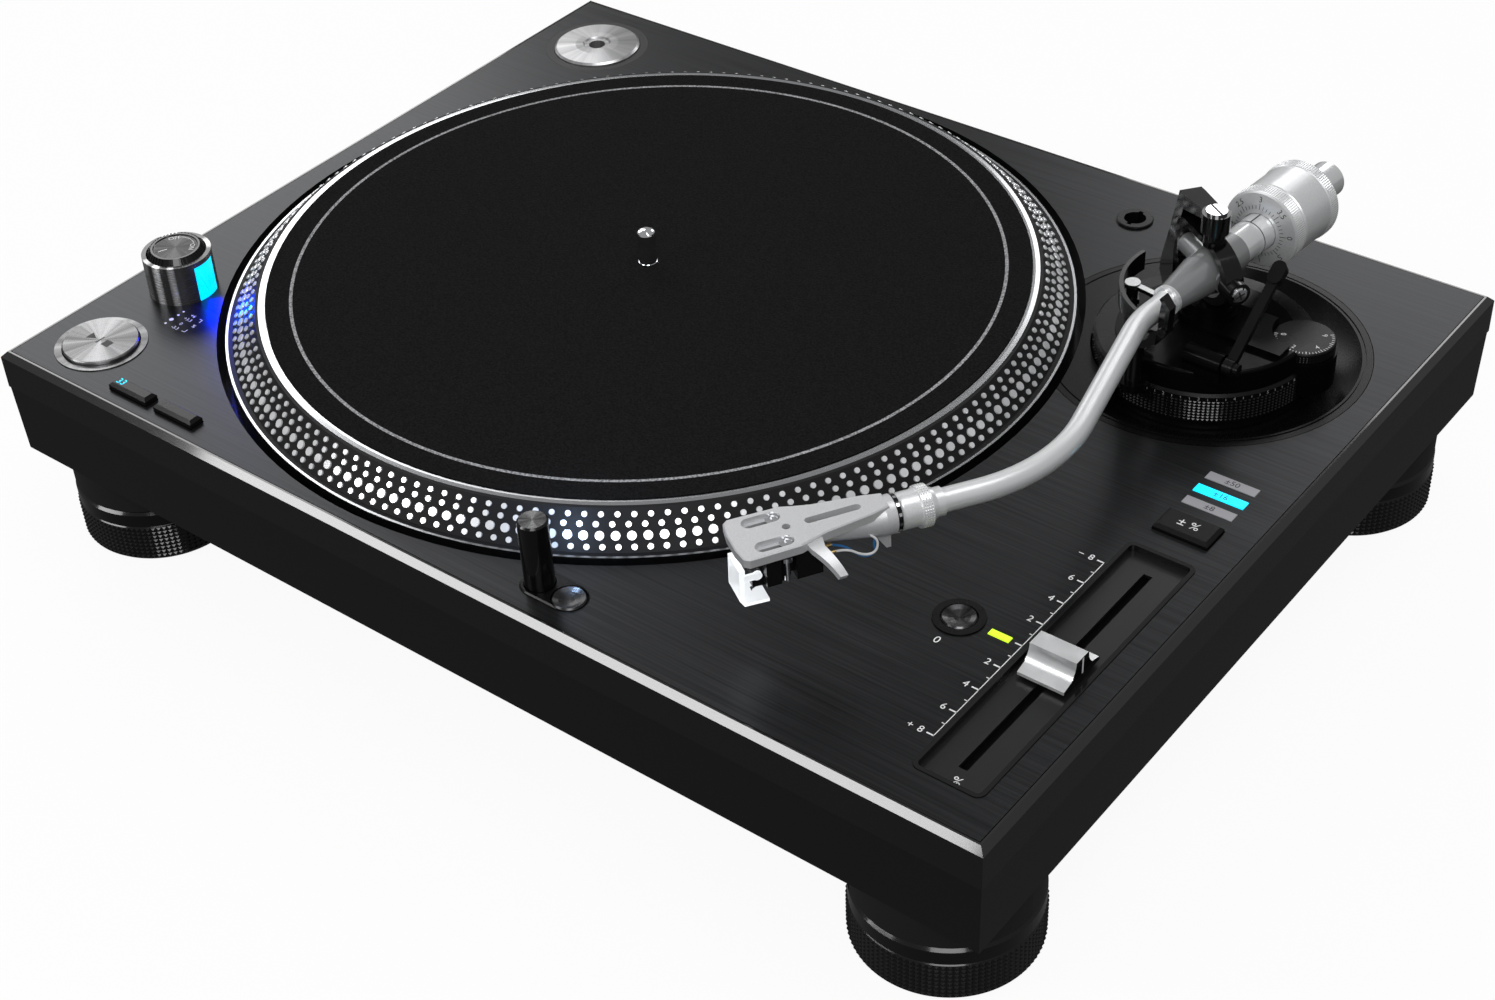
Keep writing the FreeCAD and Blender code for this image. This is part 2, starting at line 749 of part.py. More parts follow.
def upper_chassis():
    """Cast upper frame with the bevelled edge, the platter cup and the bed for the deck plate."""
    body = bevelled(block(0, 0, CASE_W, CASE_D, SPLIT_Z, DECK), DECK, CASE_CHAMFER)
    pocket_w, pocket_d = CASE_W - 2 * PLATE_EDGE, CASE_D - 2 * PLATE_EDGE
    body = body.cut(block(0, 0, pocket_w, pocket_d, PLATE_BED, DECK + 1))
    inner_w, inner_d = CASE_W - 2 * UPPER_WALL, CASE_D - 2 * UPPER_WALL
    body = body.cut(block(0, 0, inner_w, inner_d, SPLIT_Z - 1, WEB_LOW))
    body = body.fuse(disc(WELL_R + CUP_WALL, CUP_FLOOR_Z, PLATE_BED, PLATTER_X, PLATTER_Y))
    body = body.cut(disc(WELL_R, CUP_FLOOR, DECK + 1, PLATTER_X, PLATTER_Y))
    body = body.cut(disc(CUP_HOLE_R, CUP_FLOOR_Z - 1, DECK, PLATTER_X, PLATTER_Y))
    body = body.cut(well_plan(WELL_BODY_R + FIT_GAP, SPLIT_Z - 20, PLATE_BED))
    body = body.cut(group(web_cutters(SPLIT_Z - 1, PLATE_BED + 1)))
    return body.removeSplitter()


def well_plan(r, z0, z1):
    """The arm well's round body, cut back where the platter cup stands."""
    cup = disc(WELL_R + CUP_WALL + FIT_GAP * 2, z0 - 1, z1 + 1, PLATTER_X, PLATTER_Y)
    return disc(r, z0, z1, ARM_X, ARM_Y).cut(cup)


def top_plate():
    """Brushed deck plate, open for the platter, the arm well and the panel."""
    edge = PLATE_EDGE + PLATE_SEAM
    plate = block(0, 0, CASE_W - 2 * edge, CASE_D - 2 * edge, PLATE_BED, DECK)
    plate = plate.cut(disc(WELL_R, PLATE_BED - 1, DECK + 1, PLATTER_X, PLATTER_Y))
    plate = plate.cut(disc(INSERT_R + PLATE_SEAM, PLATE_BED - 1, DECK + 1, ARM_X, ARM_Y))
    return plate.cut(group(panel_cutters(PLATE_BED - 1, DECK + 1)))


def base_case():
    """Heavy lower case: drafted walls, a floor, and the opening for the rear recess."""
    def outline(inset, z):
        w, d = CASE_W / 2 - inset, CASE_D / 2 - inset
        corners = [Vector(-w, -d, z), Vector(w, -d, z), Vector(w, d, z), Vector(-w, d, z)]
        return Part.makePolygon(corners + corners[:1])

    low = outline(CASE_SEAM + CASE_DRAFT, COLLAR_TOP)
    high = outline(CASE_SEAM, SPLIT_Z)
    shell = Part.makeLoft([low, high], True)
    inner_w, inner_d = CASE_W - 2 * CASE_WALL, CASE_D - 2 * CASE_WALL
    shell = shell.cut(block(0, 0, inner_w, inner_d, CASE_FLOOR, SPLIT_Z + 1))
    for foot_x, foot_y in FEET.values():
        shell = shell.fuse(disc(STEM_R + 6, CASE_FLOOR - 1, CASE_FLOOR + STEM_REACH, foot_x, foot_y))
    for foot_x, foot_y in FEET.values():
        shell = shell.cut(disc(STEM_R + PIN_GAP, COLLAR_TOP - 1, STEM_TOP + 1, foot_x, foot_y))
    cup = disc(WELL_R + CUP_WALL + FIT_GAP, CUP_FLOOR_Z - FIT_GAP, SPLIT_Z + 1, PLATTER_X, PLATTER_Y)
    shell = shell.cut(cup)
    wall_front = CASE_D / 2 - RECESS_DEPTH - 3
    opening = FIT_GAP * 2
    shell = shell.cut(box(RECESS_X - RECESS_W / 2 - opening, RECESS_X + RECESS_W / 2 + opening,
                          wall_front, CASE_D, RECESS_LOW - opening, RECESS_HIGH + opening))
    standoffs = [disc(STANDOFF_R, CASE_FLOOR - 1, CASE_FLOOR + STANDOFF_H, x, y) for x, y in board_corners()]
    shell = shell.multiFuse(standoffs)
    screw_holes = [disc(COVER_SCREW_R + FIT_GAP, COLLAR_TOP - 1, CASE_FLOOR + 1, x, y)
                   for x in COVER_SCREW_XS for y in COVER_SCREW_YS]
    return shell.cut(group(screw_holes)).removeSplitter()


def board_corners():
    """Where the control board stands on its posts."""
    half_w, half_d = BOARD_W / 2 - 5, BOARD_D / 2 - 5
    return [(BOARD_X + sx * half_w, BOARD_Y + sy * half_d) for sx in (-1, 1) for sy in (-1, 1)]


def bottom_cover():
    """Cover plate under the case, cut back round the feet."""
    cover = block(0, 0, CASE_W - 2 * COVER_INSET, CASE_D - 2 * COVER_INSET, COLLAR_TOP - COVER_T, COLLAR_TOP)
    round_feet = [disc(COLLAR_R + FIT_GAP, COLLAR_TOP - COVER_T - 1, COLLAR_TOP + 1, x, y)
                  for x, y in FEET.values()]
    holes = [disc(COVER_SCREW_R + FIT_GAP, COLLAR_TOP - COVER_T - 1, COLLAR_TOP + 1, x, y)
             for x in COVER_SCREW_XS for y in COVER_SCREW_YS]
    return cover.cut(group(round_feet)).cut(group(holes))


def case_screws():
    """The screws that hold the bottom cover."""
    head_top = COLLAR_TOP - COVER_T
    screws = []
    for x in COVER_SCREW_XS:
        for y in COVER_SCREW_YS:
            head = disc(COVER_SCREW_HEAD_R, head_top - COVER_SCREW_HEAD_T, head_top, x, y)
            shank = disc(COVER_SCREW_R, head_top - 0.5, CASE_FLOOR, x, y)
            screws.append(head.fuse(shank))
    return group(screws)


def foot_collars():
    """The rubber collars between the case and the feet."""
    return group([tube(COLLAR_R, STEM_R + BODY_GAP, FOOT_H + BODY_GAP, COLLAR_TOP, x, y)
                  for x, y in FEET.values()])


def foot(x, y):
    """A height-adjustable foot with its threaded stem."""
    step = 0.4
    band_low = FOOT_H - FOOT_BAND_H
    profile = [(0, 0), (FOOT_R - FOOT_EDGE, 0), (FOOT_R, FOOT_EDGE), (FOOT_R, band_low - step),
               (FOOT_R - step, band_low), (FOOT_R, band_low + step), (FOOT_R, FOOT_H - FOOT_EDGE),
               (FOOT_R - FOOT_EDGE, FOOT_H), (STEM_R, FOOT_H), (STEM_R, STEM_TOP), (0, STEM_TOP)]
    return turned(profile, x, y)


def platter():
    """Cast platter: outer lip, sloping band for the dots, rim round the mat, hub and magnet skirt."""
    web_low = PLATTER_BED - PLATTER_WEB
    rim_in = PLATTER_R - RIM_T
    bore = SHAFT_LOW_R + PIN_GAP
    skirt_in, skirt_out = MAGNET_R + PIN_GAP, MAGNET_R + MAGNET_SKIRT
    hub_low = web_low - HUB_DROP
    profile = [(bore, hub_low), (HUB_R, hub_low), (HUB_R, web_low), (skirt_in, web_low),
               (skirt_in, MAGNET_LOW - 1), (skirt_out, MAGNET_LOW - 1), (skirt_out, web_low),
               (rim_in - 8, web_low), (rim_in, web_low - 6), (rim_in, RIM_LOW), (PLATTER_R, RIM_LOW),
               (PLATTER_R, DECK + PLATTER_LIP_Z), (PLATTER_R - PLATTER_LIP, DECK + PLATTER_LIP_Z),
               (BAND_TOP_R, DECK + BAND_TOP_Z), (MAT_EDGE_R + 1, DECK + MAT_EDGE_Z),
               (MAT_EDGE_R, DECK + MAT_EDGE_Z), (MAT_EDGE_R, PLATTER_BED), (bore, PLATTER_BED)]
    return turned(profile, PLATTER_X, PLATTER_Y)


def slipmat():
    """Felt mat with a hole for the spindle."""
    return tube(MAT_EDGE_R - BODY_GAP, SHAFT_LOW_R + 0.2, MAT_LOW, MAT_TOP, PLATTER_X, PLATTER_Y)


def spindle():
    """Centre spindle: a shaft from its bearing to the mat, and the slimmer pin for the record."""
    low = CASE_FLOOR + BEARING_FLOOR + BODY_GAP
    top = DECK + SPINDLE_TOP
    shoulder = MAT_TOP + BODY_GAP
    profile = [(0, low), (SHAFT_LOW_R, low), (SHAFT_LOW_R, shoulder), (SPINDLE_R, shoulder),
               (SPINDLE_R, top - SPINDLE_DOME)]
    for step in range(1, 6):
        a = math.radians(90 * step / 5)
        profile.append((SPINDLE_R * math.cos(a), top - SPINDLE_DOME + SPINDLE_DOME * math.sin(a)))
    return turned(profile, PLATTER_X, PLATTER_Y)


def bearing_housing():
    """Spindle bearing that stands on the case floor."""
    top = PLATTER_BED - PLATTER_WEB - HUB_DROP - BODY_GAP
    flange = disc(BEARING_FLANGE_R, CASE_FLOOR, CASE_FLOOR + BEARING_FLANGE_T, PLATTER_X, PLATTER_Y)
    barrel = disc(BEARING_R, CASE_FLOOR, top, PLATTER_X, PLATTER_Y)
    bore = disc(SHAFT_LOW_R + RUN_GAP, CASE_FLOOR + BEARING_FLOOR, top + 1, PLATTER_X, PLATTER_Y)
    return flange.fuse(barrel).cut(bore).removeSplitter()


def rotor_magnet():
    """Magnet ring inside the platter's skirt."""
    return tube(MAGNET_R, MAGNET_BORE_R, MAGNET_LOW, MAGNET_LOW + MAGNET_H, PLATTER_X, PLATTER_Y)


def motor_stator():
    """Drive board with its coils, on the floor of the platter cup."""
    board_top = CUP_FLOOR + STATOR_T
    board = tube(STATOR_R, BEARING_R + FIT_GAP, CUP_FLOOR, board_top, PLATTER_X, PLATTER_Y)
    shapes = [board]
    for index in range(COIL_COUNT):
        coil = box(COIL_IN_R, COIL_OUT_R, -COIL_W / 2, COIL_W / 2, board_top - 0.5, board_top + COIL_H)
        coil.rotate(Vector(0, 0, 0), UP, 360 * index / COIL_COUNT)
        coil.translate(Vector(PLATTER_X, PLATTER_Y, 0))
        shapes.append(coil)
    return fused(shapes)


def control_board():
    """Control board with its chips, on four posts."""
    low = CASE_FLOOR + STANDOFF_H
    board = block(BOARD_X, BOARD_Y, BOARD_W, BOARD_D, low, low + BOARD_T)
    chips = [block(BOARD_X + dx, BOARD_Y + dy, w, d, low + BOARD_T - 0.2, low + BOARD_T + h)
             for dx, dy, w, d, h in ((-30, 10, 18, 18, 2.2), (5, -15, 14, 10, 2.0), (35, 15, 10, 10, 7.0))]
    return fused([board] + chips)


def power_supply():
    """Mains supply in a metal tray."""
    top = CASE_FLOOR + SUPPLY_H
    tray = block(SUPPLY_X, SUPPLY_Y, SUPPLY_W, SUPPLY_D, CASE_FLOOR, top - 4)
    tray = tray.cut(block(SUPPLY_X, SUPPLY_Y, SUPPLY_W - 4, SUPPLY_D - 4, CASE_FLOOR + 2, top))
    cores = [block(SUPPLY_X + dx, SUPPLY_Y, 24, 34, CASE_FLOOR + 1, top) for dx in (-24, 18)]
    return fused([tray] + cores)


def strobe_tower():
    """Steel tower with a seat for the power knob and a recess for the window."""
    body = disc(TOWER_R, PLATE_BED, DECK + TOWER_H, TOWER_X, TOWER_Y)
    body = body.cut(disc(TOWER_R - TOWER_WALL, DECK + TOWER_H - KNOB_SEAT, DECK + TOWER_H + 1, TOWER_X,
                         TOWER_Y))
    body = body.cut(disc(STEM_HOLE_R, PLATE_BED - 1, DECK + TOWER_H, TOWER_X, TOWER_Y))
    return body.cut(strobe_window_space(FIT_GAP))


def strobe_window_space(grow):
    """The window's curved strip, grown by a clearance."""
    start = WINDOW_TURN - WINDOW_ARC / 2
    z0, z1 = DECK, DECK + WINDOW_H
    strip = sector(TOWER_R + 5 * grow, TOWER_R - WINDOW_T - grow, start - 10 * grow,
                   start + WINDOW_ARC + 10 * grow,
                   z0, z1 + grow)
    return placed(strip, Placement(Vector(TOWER_X, TOWER_Y, 0), Rotation()))


def strobe_window():
    """Clear strip on the platter's side of the tower."""
    return strobe_window_space(0.0)


def power_knob():
    """Rotary power knob in the top of the tower, with its stem."""
    seat = DECK + TOWER_H - KNOB_SEAT + BODY_GAP
    rim = TOWER_R - TOWER_WALL - BODY_GAP
    top = DECK + TOWER_H + KNOB_RISE
    profile = [(0, STEM_LOW), (BUTTON_STEM_R, STEM_LOW), (BUTTON_STEM_R, seat), (rim, seat),
               (rim, DECK + TOWER_H - 1),
               (KNOB_FACE_R + 0.8, top), (KNOB_FACE_R, top), (KNOB_FACE_R - 0.4, top - 0.4), (0, top - 0.4)]
    return turned(profile, TOWER_X, TOWER_Y)


def start_bezel():
    """Ring round the start and stop button."""
    return tube(START_BEZEL_R, START_R + BODY_GAP, PLATE_BED, DECK + BEZEL_RISE, START_X, START_Y)


def round_button(r, rise, travel, x, y, dish=0.0):
    """A round push button with its stem; a dish is hollowed in its face."""
    low = PLATE_BED + travel + BODY_GAP
    top = DECK + rise
    profile = [(0, STEM_LOW), (BUTTON_STEM_R, STEM_LOW), (BUTTON_STEM_R, low), (r, low), (r, top - 0.5),
               (r - 0.5, top)]
    if dish > 0:
        profile += [(r * 0.62, top - dish * 0.6), (r * 0.3, top - dish * 0.95)]
    profile.append((0, top - dish))
    return turned(profile, x, y)


def start_button():
    """Start and stop button."""
    return round_button(START_R, START_RISE, BUTTON_TRAVEL, START_X, START_Y)


def speed_key(x):
    """A bevelled speed key with its stem."""
    low = PLATE_BED + KEY_TRAVEL + BODY_GAP
    top = DECK + KEY_RISE
    key = bevelled(block(x, KEY_Y, KEY_W, KEY_D, low, top), top, KEY_BEVEL)
    return key.fuse(disc(BUTTON_STEM_R, STEM_LOW, low + 1, x, KEY_Y)).removeSplitter()


def light_bezel():
    """Pill-shaped bezel with a bore for the light and one for its button."""
    body = bevelled(pill(0.0, PLATE_BED, DECK + PILL_RISE), DECK + PILL_RISE, 0.5)
    body = body.cut(disc(LIGHT_R + BODY_GAP, PLATE_BED - 1, DECK + 2, LIGHT_X, LIGHT_Y))
    return body.cut(disc(PUSH_R + BODY_GAP, PLATE_BED - 1, DECK + 2, PUSH_X, PUSH_Y))


def stylus_light():
    """Pop-up column that lights the stylus; its lamp looks towards the arm."""
    top = DECK + LIGHT_H
    low = CASE_FLOOR + LIGHT_TRAVEL + BODY_GAP
    profile = [(0, low), (LIGHT_R, low), (LIGHT_R, top - LIGHT_BEVEL), (LIGHT_R - LIGHT_BEVEL, top), (0, top)]
    body = turned(profile, LIGHT_X, LIGHT_Y)
    lens = Vector(LIGHT_X, LIGHT_Y + LIGHT_R - 1.2, top - LIGHT_LENS_DROP)
    return body.cut(rod(lens, lens + Vector(0, LIGHT_R, 0), LIGHT_LENS_R))


def light_button():
    """Dished button that releases the stylus light."""
    return round_button(PUSH_R, PUSH_RISE, BUTTON_TRAVEL, PUSH_X, PUSH_Y, 0.9)


def fader_tray():
    """Sunk tray of the tempo fader with its slot."""
    low = DECK - FADER_TRAY_DEPTH
    flange = rounded(FADER_X, FADER_Y, FADER_W, FADER_D, FADER_CORNER, PLATE_BED, DECK + 0.3)
    well = block(FADER_X, FADER_Y, FADER_W - 2 * FADER_RIM, FADER_D - 2 * FADER_RIM, low, PLATE_BED + 1)
    tray = flange.fuse(well)
    recess = rounded(FADER_X, FADER_Y, FADER_W - 2 * FADER_RIM, FADER_D - 2 * FADER_RIM,
                     FADER_CORNER - FADER_RIM,
                     DECK - FADER_RECESS, DECK + 1)
    inside = block(FADER_X, FADER_Y, FADER_W - 4 * FADER_RIM, FADER_D - 4 * FADER_RIM,
                   low + FADER_TRAY_FLOOR, DECK - FADER_RECESS - FADER_TRAY_FLOOR)
    slot = block(FADER_X, FADER_Y, SLOT_W, SLOT_D, low + FADER_TRAY_FLOOR + 1, DECK)
    return tray.cut(group([recess, inside])).cut(slot).removeSplitter()


def fader_knob():
    """Fader knob: a flat ridge between two concave finger scoops, with its stem and slider."""
    low, shelf, top = DECK + FADER_SKIRT_LOW_Z, DECK + FADER_SHELF_Z, DECK + FADER_KNOB_TOP
    end, foot, ridge = FADER_KNOB_D / 2, FADER_SHELF_W / 2, FADER_RIDGE_W / 2
    hollow = ridge + (foot - ridge) * 0.27
    skirt = DECK + FADER_SKIRT_TOP_Z
    half = [Vector(0, end, skirt), Vector(0, foot, shelf), Vector(0, hollow, (shelf + top) / 2 - 0.3),
            Vector(0, ridge, top)]
    other = [Vector(0, -p.y, p.z) for p in half]
    edges = [Part.makeLine(Vector(0, -end, low), Vector(0, end, low)),
             Part.makeLine(Vector(0, end, low), half[0])]
    edges.append(Part.makeLine(half[0], half[1]))
    edges.append(Part.Arc(half[1], half[2], half[3]).toShape())
    edges.append(Part.makeLine(half[3], other[3]))
    edges.append(Part.Arc(other[3], other[2], other[1]).toShape())
    edges.append(Part.makeLine(other[1], other[0]))
    edges.append(Part.makeLine(other[0], Vector(0, -end, low)))
    body = Part.Face(Part.Wire(edges)).extrude(Vector(FADER_KNOB_W, 0, 0))
    at_y = FADER_Y + FADER_KNOB_SHIFT
    body.translate(Vector(FADER_X - FADER_KNOB_W / 2, at_y, 0))
    stem_low = DECK - FADER_TRAY_DEPTH + FADER_TRAY_FLOOR + 2 * FADER_SLIDE_GAP
    stem = block(FADER_X, at_y, FADER_STEM_W, FADER_STEM_D, stem_low, low + 1)
    slider = block(FADER_X, at_y, FADER_SLIDER_W, FADER_STEM_D, stem_low, stem_low + FADER_SLIDER_T)
    return fused([body, stem, slider])


def reset_ring():
    """Ring round the reset button."""
    return tube(RESET_RING_R, RESET_R + BODY_GAP, PLATE_BED, DECK + 0.5, RESET_X, RESET_Y)


def reset_button():
    """Dished reset button."""
    return round_button(RESET_R, 0.9, BUTTON_TRAVEL, RESET_X, RESET_Y, 0.9)


def range_button():
    """Tempo range key."""
    low = PLATE_BED + KEY_TRAVEL + BODY_GAP
    top = DECK + RANGE_RISE
    key = bevelled(block(RANGE_X, RANGE_Y, RANGE_W, RANGE_D, low, top), top, KEY_BEVEL)
    return key.fuse(disc(BUTTON_STEM_R, STEM_LOW, low + 1, RANGE_X, RANGE_Y)).removeSplitter()


def panel_lamps():
    """The zero lamp and the three range lamps."""
    top = DECK + LAMP_RISE
    lamps = [block(LAMP_X, RESET_Y, LAMP_W, LAMP_D, PLATE_BED, top)]
    lamps += [block(RANGE_LAMP_X, y, RANGE_LAMP_W, RANGE_LAMP_D, PLATE_BED, top) for y in RANGE_LAMP_YS]
    return group(lamps)


def adapter_cup():
    """Recess ring that holds the adapter for discs with a large hole."""
    low = PLATE_BED - 3.0
    cup = disc(ADAPTER_RING_R, PLATE_BED, DECK, ADAPTER_X, ADAPTER_Y)
    cup = cup.fuse(disc(ADAPTER_R + 1.4, low, PLATE_BED + 1, ADAPTER_X, ADAPTER_Y))
    return cup.cut(disc(ADAPTER_R + BODY_GAP, DECK - ADAPTER_DEPTH, DECK + 1, ADAPTER_X,
                        ADAPTER_Y)).removeSplitter()


def adapter_45():
    """Turned adapter with a bore that fits the spindle."""
    low = DECK - ADAPTER_DEPTH + FIT_GAP
    top = DECK + ADAPTER_RISE
    profile = [(ADAPTER_BORE_R, low), (ADAPTER_R, low), (ADAPTER_R, top - 1.2), (ADAPTER_R - 1.0, top - 0.4),
               (ADAPTER_R * 0.5, top), (ADAPTER_BORE_R + 2.6, top), (ADAPTER_BORE_R + 1.8, top - 0.8),
               (ADAPTER_BORE_R, top - 0.8)]
    return turned(profile, ADAPTER_X, ADAPTER_Y)


def headshell_socket():
    """Socket that stores a spare headshell, with its two key slots."""
    top = DECK + SOCKET_RISE
    low = top - SOCKET_DEPTH - 1.5
    body = bevelled(disc(SOCKET_FLANGE_R, DECK, top, SOCKET_X, SOCKET_Y), top, 0.4)
    body = body.fuse(disc(SOCKET_BODY_R, low, DECK + 0.5, SOCKET_X, SOCKET_Y))
    body = body.cut(disc(SOCKET_R, top - SOCKET_DEPTH, top + 1, SOCKET_X, SOCKET_Y))
    key = block(SOCKET_X, SOCKET_Y, SOCKET_KEY_W, 2 * SOCKET_KEY_R, top - 6, top + 1)
    return body.cut(key).removeSplitter()


def arm_well():
    """Fixed round insert of the tonearm: a sloping dish, level with the deck on the platter's side."""
    body = disc(INSERT_R, PLATE_BED, DECK, ARM_X, ARM_Y)
    low = DECK - DISH_DEPTH - DISH_FLOOR_T
    body = body.fuse(well_plan(WELL_BODY_R, low, PLATE_BED + 0.5))
    dish = turned([(0, -DISH_DEPTH), (DISH_FOOT_R, -DISH_DEPTH), (DISH_R, 0.0), (DISH_R, 1), (0, 1)])
    land = sector(INSERT_R + 2, 0, LAND_FROM, LAND_TO, -DISH_DEPTH - 1, 2)
    land = land.cut(disc(DISH_FOOT_R, -DISH_DEPTH - 2, 3))
    body = body.cut(at_arm(dish.cut(land)))
    groove = tube(DISH_R + 1.6, DISH_R + 0.9, DECK - 0.4, DECK + 1, ARM_X, ARM_Y)
    body = body.cut(groove)
    body = body.cut(disc(BARREL_R + RUN_GAP, low - 1, DECK, ARM_X, ARM_Y))
    body = body.cut(disc(WELL_R, PLATE_BED - 30, DECK + 1, PLATTER_X, PLATTER_Y))
    return body.removeSplitter()


def height_ring():
    """Knurled ring that sets the arm's height."""
    profile = [(BARREL_R + RUN_GAP, RING_FOOT_Z), (RING_SKIRT_R, RING_FOOT_Z), (RING_SKIRT_R, KNURL_FOOT_Z),
               (RING_R, KNURL_FOOT_Z), (RING_R, RING_TOP_Z - RING_BEVEL), (RING_R - RING_BEVEL, RING_TOP_Z),
               (BARREL_R + RUN_GAP, RING_TOP_Z)]
    return at_arm(turned(profile))


def arm_base():
    """What rises with the height ring: barrel, part drum, bearing column, housings and the rest's eye."""
    drum_low = BASE_LOW_Z
    barrel = disc(BARREL_R, BARREL_LOW_Z, drum_low + BARREL_RISE)
    barrel = barrel.cut(disc(BARREL_R - BARREL_WALL, BARREL_LOW_Z - 1, drum_low - 4))
    drum = disc(DRUM_R, drum_low, DRUM_TOP_Z)
    drum = drum.common(box(DRUM_LEFT, DRUM_R + 1, -DRUM_R - 1, DRUM_BACK, drum_low - 1, DRUM_TOP_Z + 1))
    drum = drum.makeFillet(1.2, [e for e in top_edges(drum, DRUM_TOP_Z) if e.Length > DRUM_R])
    slab = box(DECK_SLAB_LEFT, DECK_SLAB_RIGHT, DECK_SLAB_FRONT, DRUM_BACK, DRUM_TOP_Z - 1, DECK_SLAB_TOP_Z)
    shapes = [barrel, drum, slab]
    floor = drum_low
    for r, top in COLUMN_STEPS:
        shapes.append(disc(r, floor, top))
    shapes.append(disc(LOWER_PIN_R, COLUMN_STEPS[-1][1] - 1, COLUMN_STEPS[-1][1] + LOWER_PIN_H))
    house_top = SKATE_TOP_Z - SKATE_H - BODY_GAP
    shapes.append(disc(SKATE_HOUSE_R, drum_low, house_top, SKATE_X, SKATE_Y))
    apron = disc(SKATE_HOUSE_R, SKATE_APRON_Z, drum_low + 0.5, SKATE_X, SKATE_Y)
    shapes.append(apron.cut(disc(RING_R + 0.5, SKATE_APRON_Z - 1, drum_low)))
    axle = rod(Vector(AXLE_FROM, AXLE_Y, AXLE_Z), Vector(AXLE_HOUSE_END, AXLE_Y, AXLE_Z), AXLE_HOUSE_R)
    saddle = box(AXLE_FROM, AXLE_HOUSE_END, AXLE_Y - 3, AXLE_Y + 3, DRUM_TOP_Z - 2, AXLE_Z)
    shapes += [axle, saddle]
    shapes.append(rest_eye(drum_low))
    body = fused(shapes)
    slab_over_dial = disc(SKATE_R + BODY_GAP, house_top, DECK_SLAB_TOP_Z + 1, SKATE_X, SKATE_Y)
    body = body.cut(slab_over_dial)
    body = body.cut(disc(SKATE_STEM_R + RUN_GAP, house_top - SKATE_STEM_H - BODY_GAP, house_top + 1,
                         SKATE_X, SKATE_Y))
    bore = rod(Vector(AXLE_FROM + 2, AXLE_Y, AXLE_Z), Vector(AXLE_TIP, AXLE_Y, AXLE_Z), AXLE_R + RUN_GAP)
    body = body.cut(bore)
    post = polar(LIFT_R, LIFT_AZIMUTH)
    body = body.cut(disc(LIFT_PIN_R + RUN_GAP, drum_low - LIFT_SINK - BODY_GAP, drum_low + 1, post.x, post.y))
    return at_arm(body.removeSplitter())


def rest_eye(low):
    """Eye in front of the drum that the rest's post stands in."""
    post = polar(REST_S, REST_AZIMUTH)
    root = polar(DRUM_R - 4, REST_AZIMUTH)
    side = polar(REST_EYE_R * 0.8, REST_AZIMUTH + 90)
    outline = [(root + side), (post + side), (post - side), (root - side)]
    arm = prism([(p.x, p.y) for p in outline], low, low + REST_EYE_T)
    eye = arm.fuse(disc(REST_EYE_R, low, low + REST_EYE_T, post.x, post.y))
    return eye.cut(disc(REST_PIN_R + FIT_GAP, low - 1, low + REST_EYE_T + 1, post.x, post.y))


def arm_yoke():
    """Fixed C-shaped frame over the gimbal: foot, leaning leg, rising bridge and bored boss."""
    inner_foot = COLUMN_STEPS[0][0] + 2 * FIT_GAP
    foot_low = BASE_LOW_Z + BARREL_RISE
    outline = [(inner_foot, foot_low), (YOKE_FOOT_REACH, foot_low)] + list(YOKE_OUTSIDE)
    outline += [(0.0, YOKE_BRIDGE_TOP_Z), (0.0, YOKE_BRIDGE_LOW_Z), (CAP_BOSS_R, YOKE_BRIDGE_LOW_Z)]
    outline += list(YOKE_INSIDE) + [(YOKE_INSIDE[-1][0], YOKE_FOOT_TOP_Z), (inner_foot, YOKE_FOOT_TOP_Z)]
    points = [Vector(-reach, -YOKE_W / 2, z - PIVOT_Z) for reach, z in outline]
    frame = Part.Face(Part.makePolygon(points + points[:1])).extrude(Vector(0, YOKE_W, 0))
    corner = YOKE_INSIDE[0][0]
    for side in (-1, 1):
        wide, narrow = side * YOKE_W / 2, side * YOKE_NOSE_W / 2
        wedge = [(-corner, wide), (0, narrow), (1, narrow), (1, wide + side), (-corner, wide + side)]
        frame = frame.cut(prism(wedge, YOKE_FOOT_TOP_Z - PIVOT_Z + 1, YOKE_BRIDGE_TOP_Z))
    frame = frame.fuse(disc(CAP_BOSS_R, YOKE_NOSE_Z - PIVOT_Z, CAP_BOSS_TOP_Z - PIVOT_Z))
    screw_top = CAP_SCREW_TOP_Z - PIVOT_Z
    frame = frame.cut(disc(CAP_SCREW_R + PIN_GAP, screw_top - CAP_SCREW_DEPTH, screw_top + 1))
    frame = frame.cut(disc(LOWER_PIN_R + PIN_GAP, YOKE_NOSE_Z - PIVOT_Z - 1, screw_top))
    return placed(frame.removeSplitter(), YOKE_FRAME)


def pivot_cap():
    """Slotted pivot screw in the yoke's boss; its point centres the gimbal."""
    top = CAP_SCREW_TOP_Z - PIVOT_Z
    head = disc(CAP_SCREW_R, top - CAP_SCREW_DEPTH, top)
    point = disc(LOWER_PIN_R, NECK_TOP_Z - PIVOT_Z - 1.6, top - 0.5)
    slot = box(-CAP_SCREW_R - 1, CAP_SCREW_R + 1, -CAP_SLOT_W / 2, CAP_SLOT_W / 2, top - CAP_SLOT_T, top + 1)
    return placed(head.fuse(point).cut(slot).removeSplitter(), GIMBAL_FRAME)


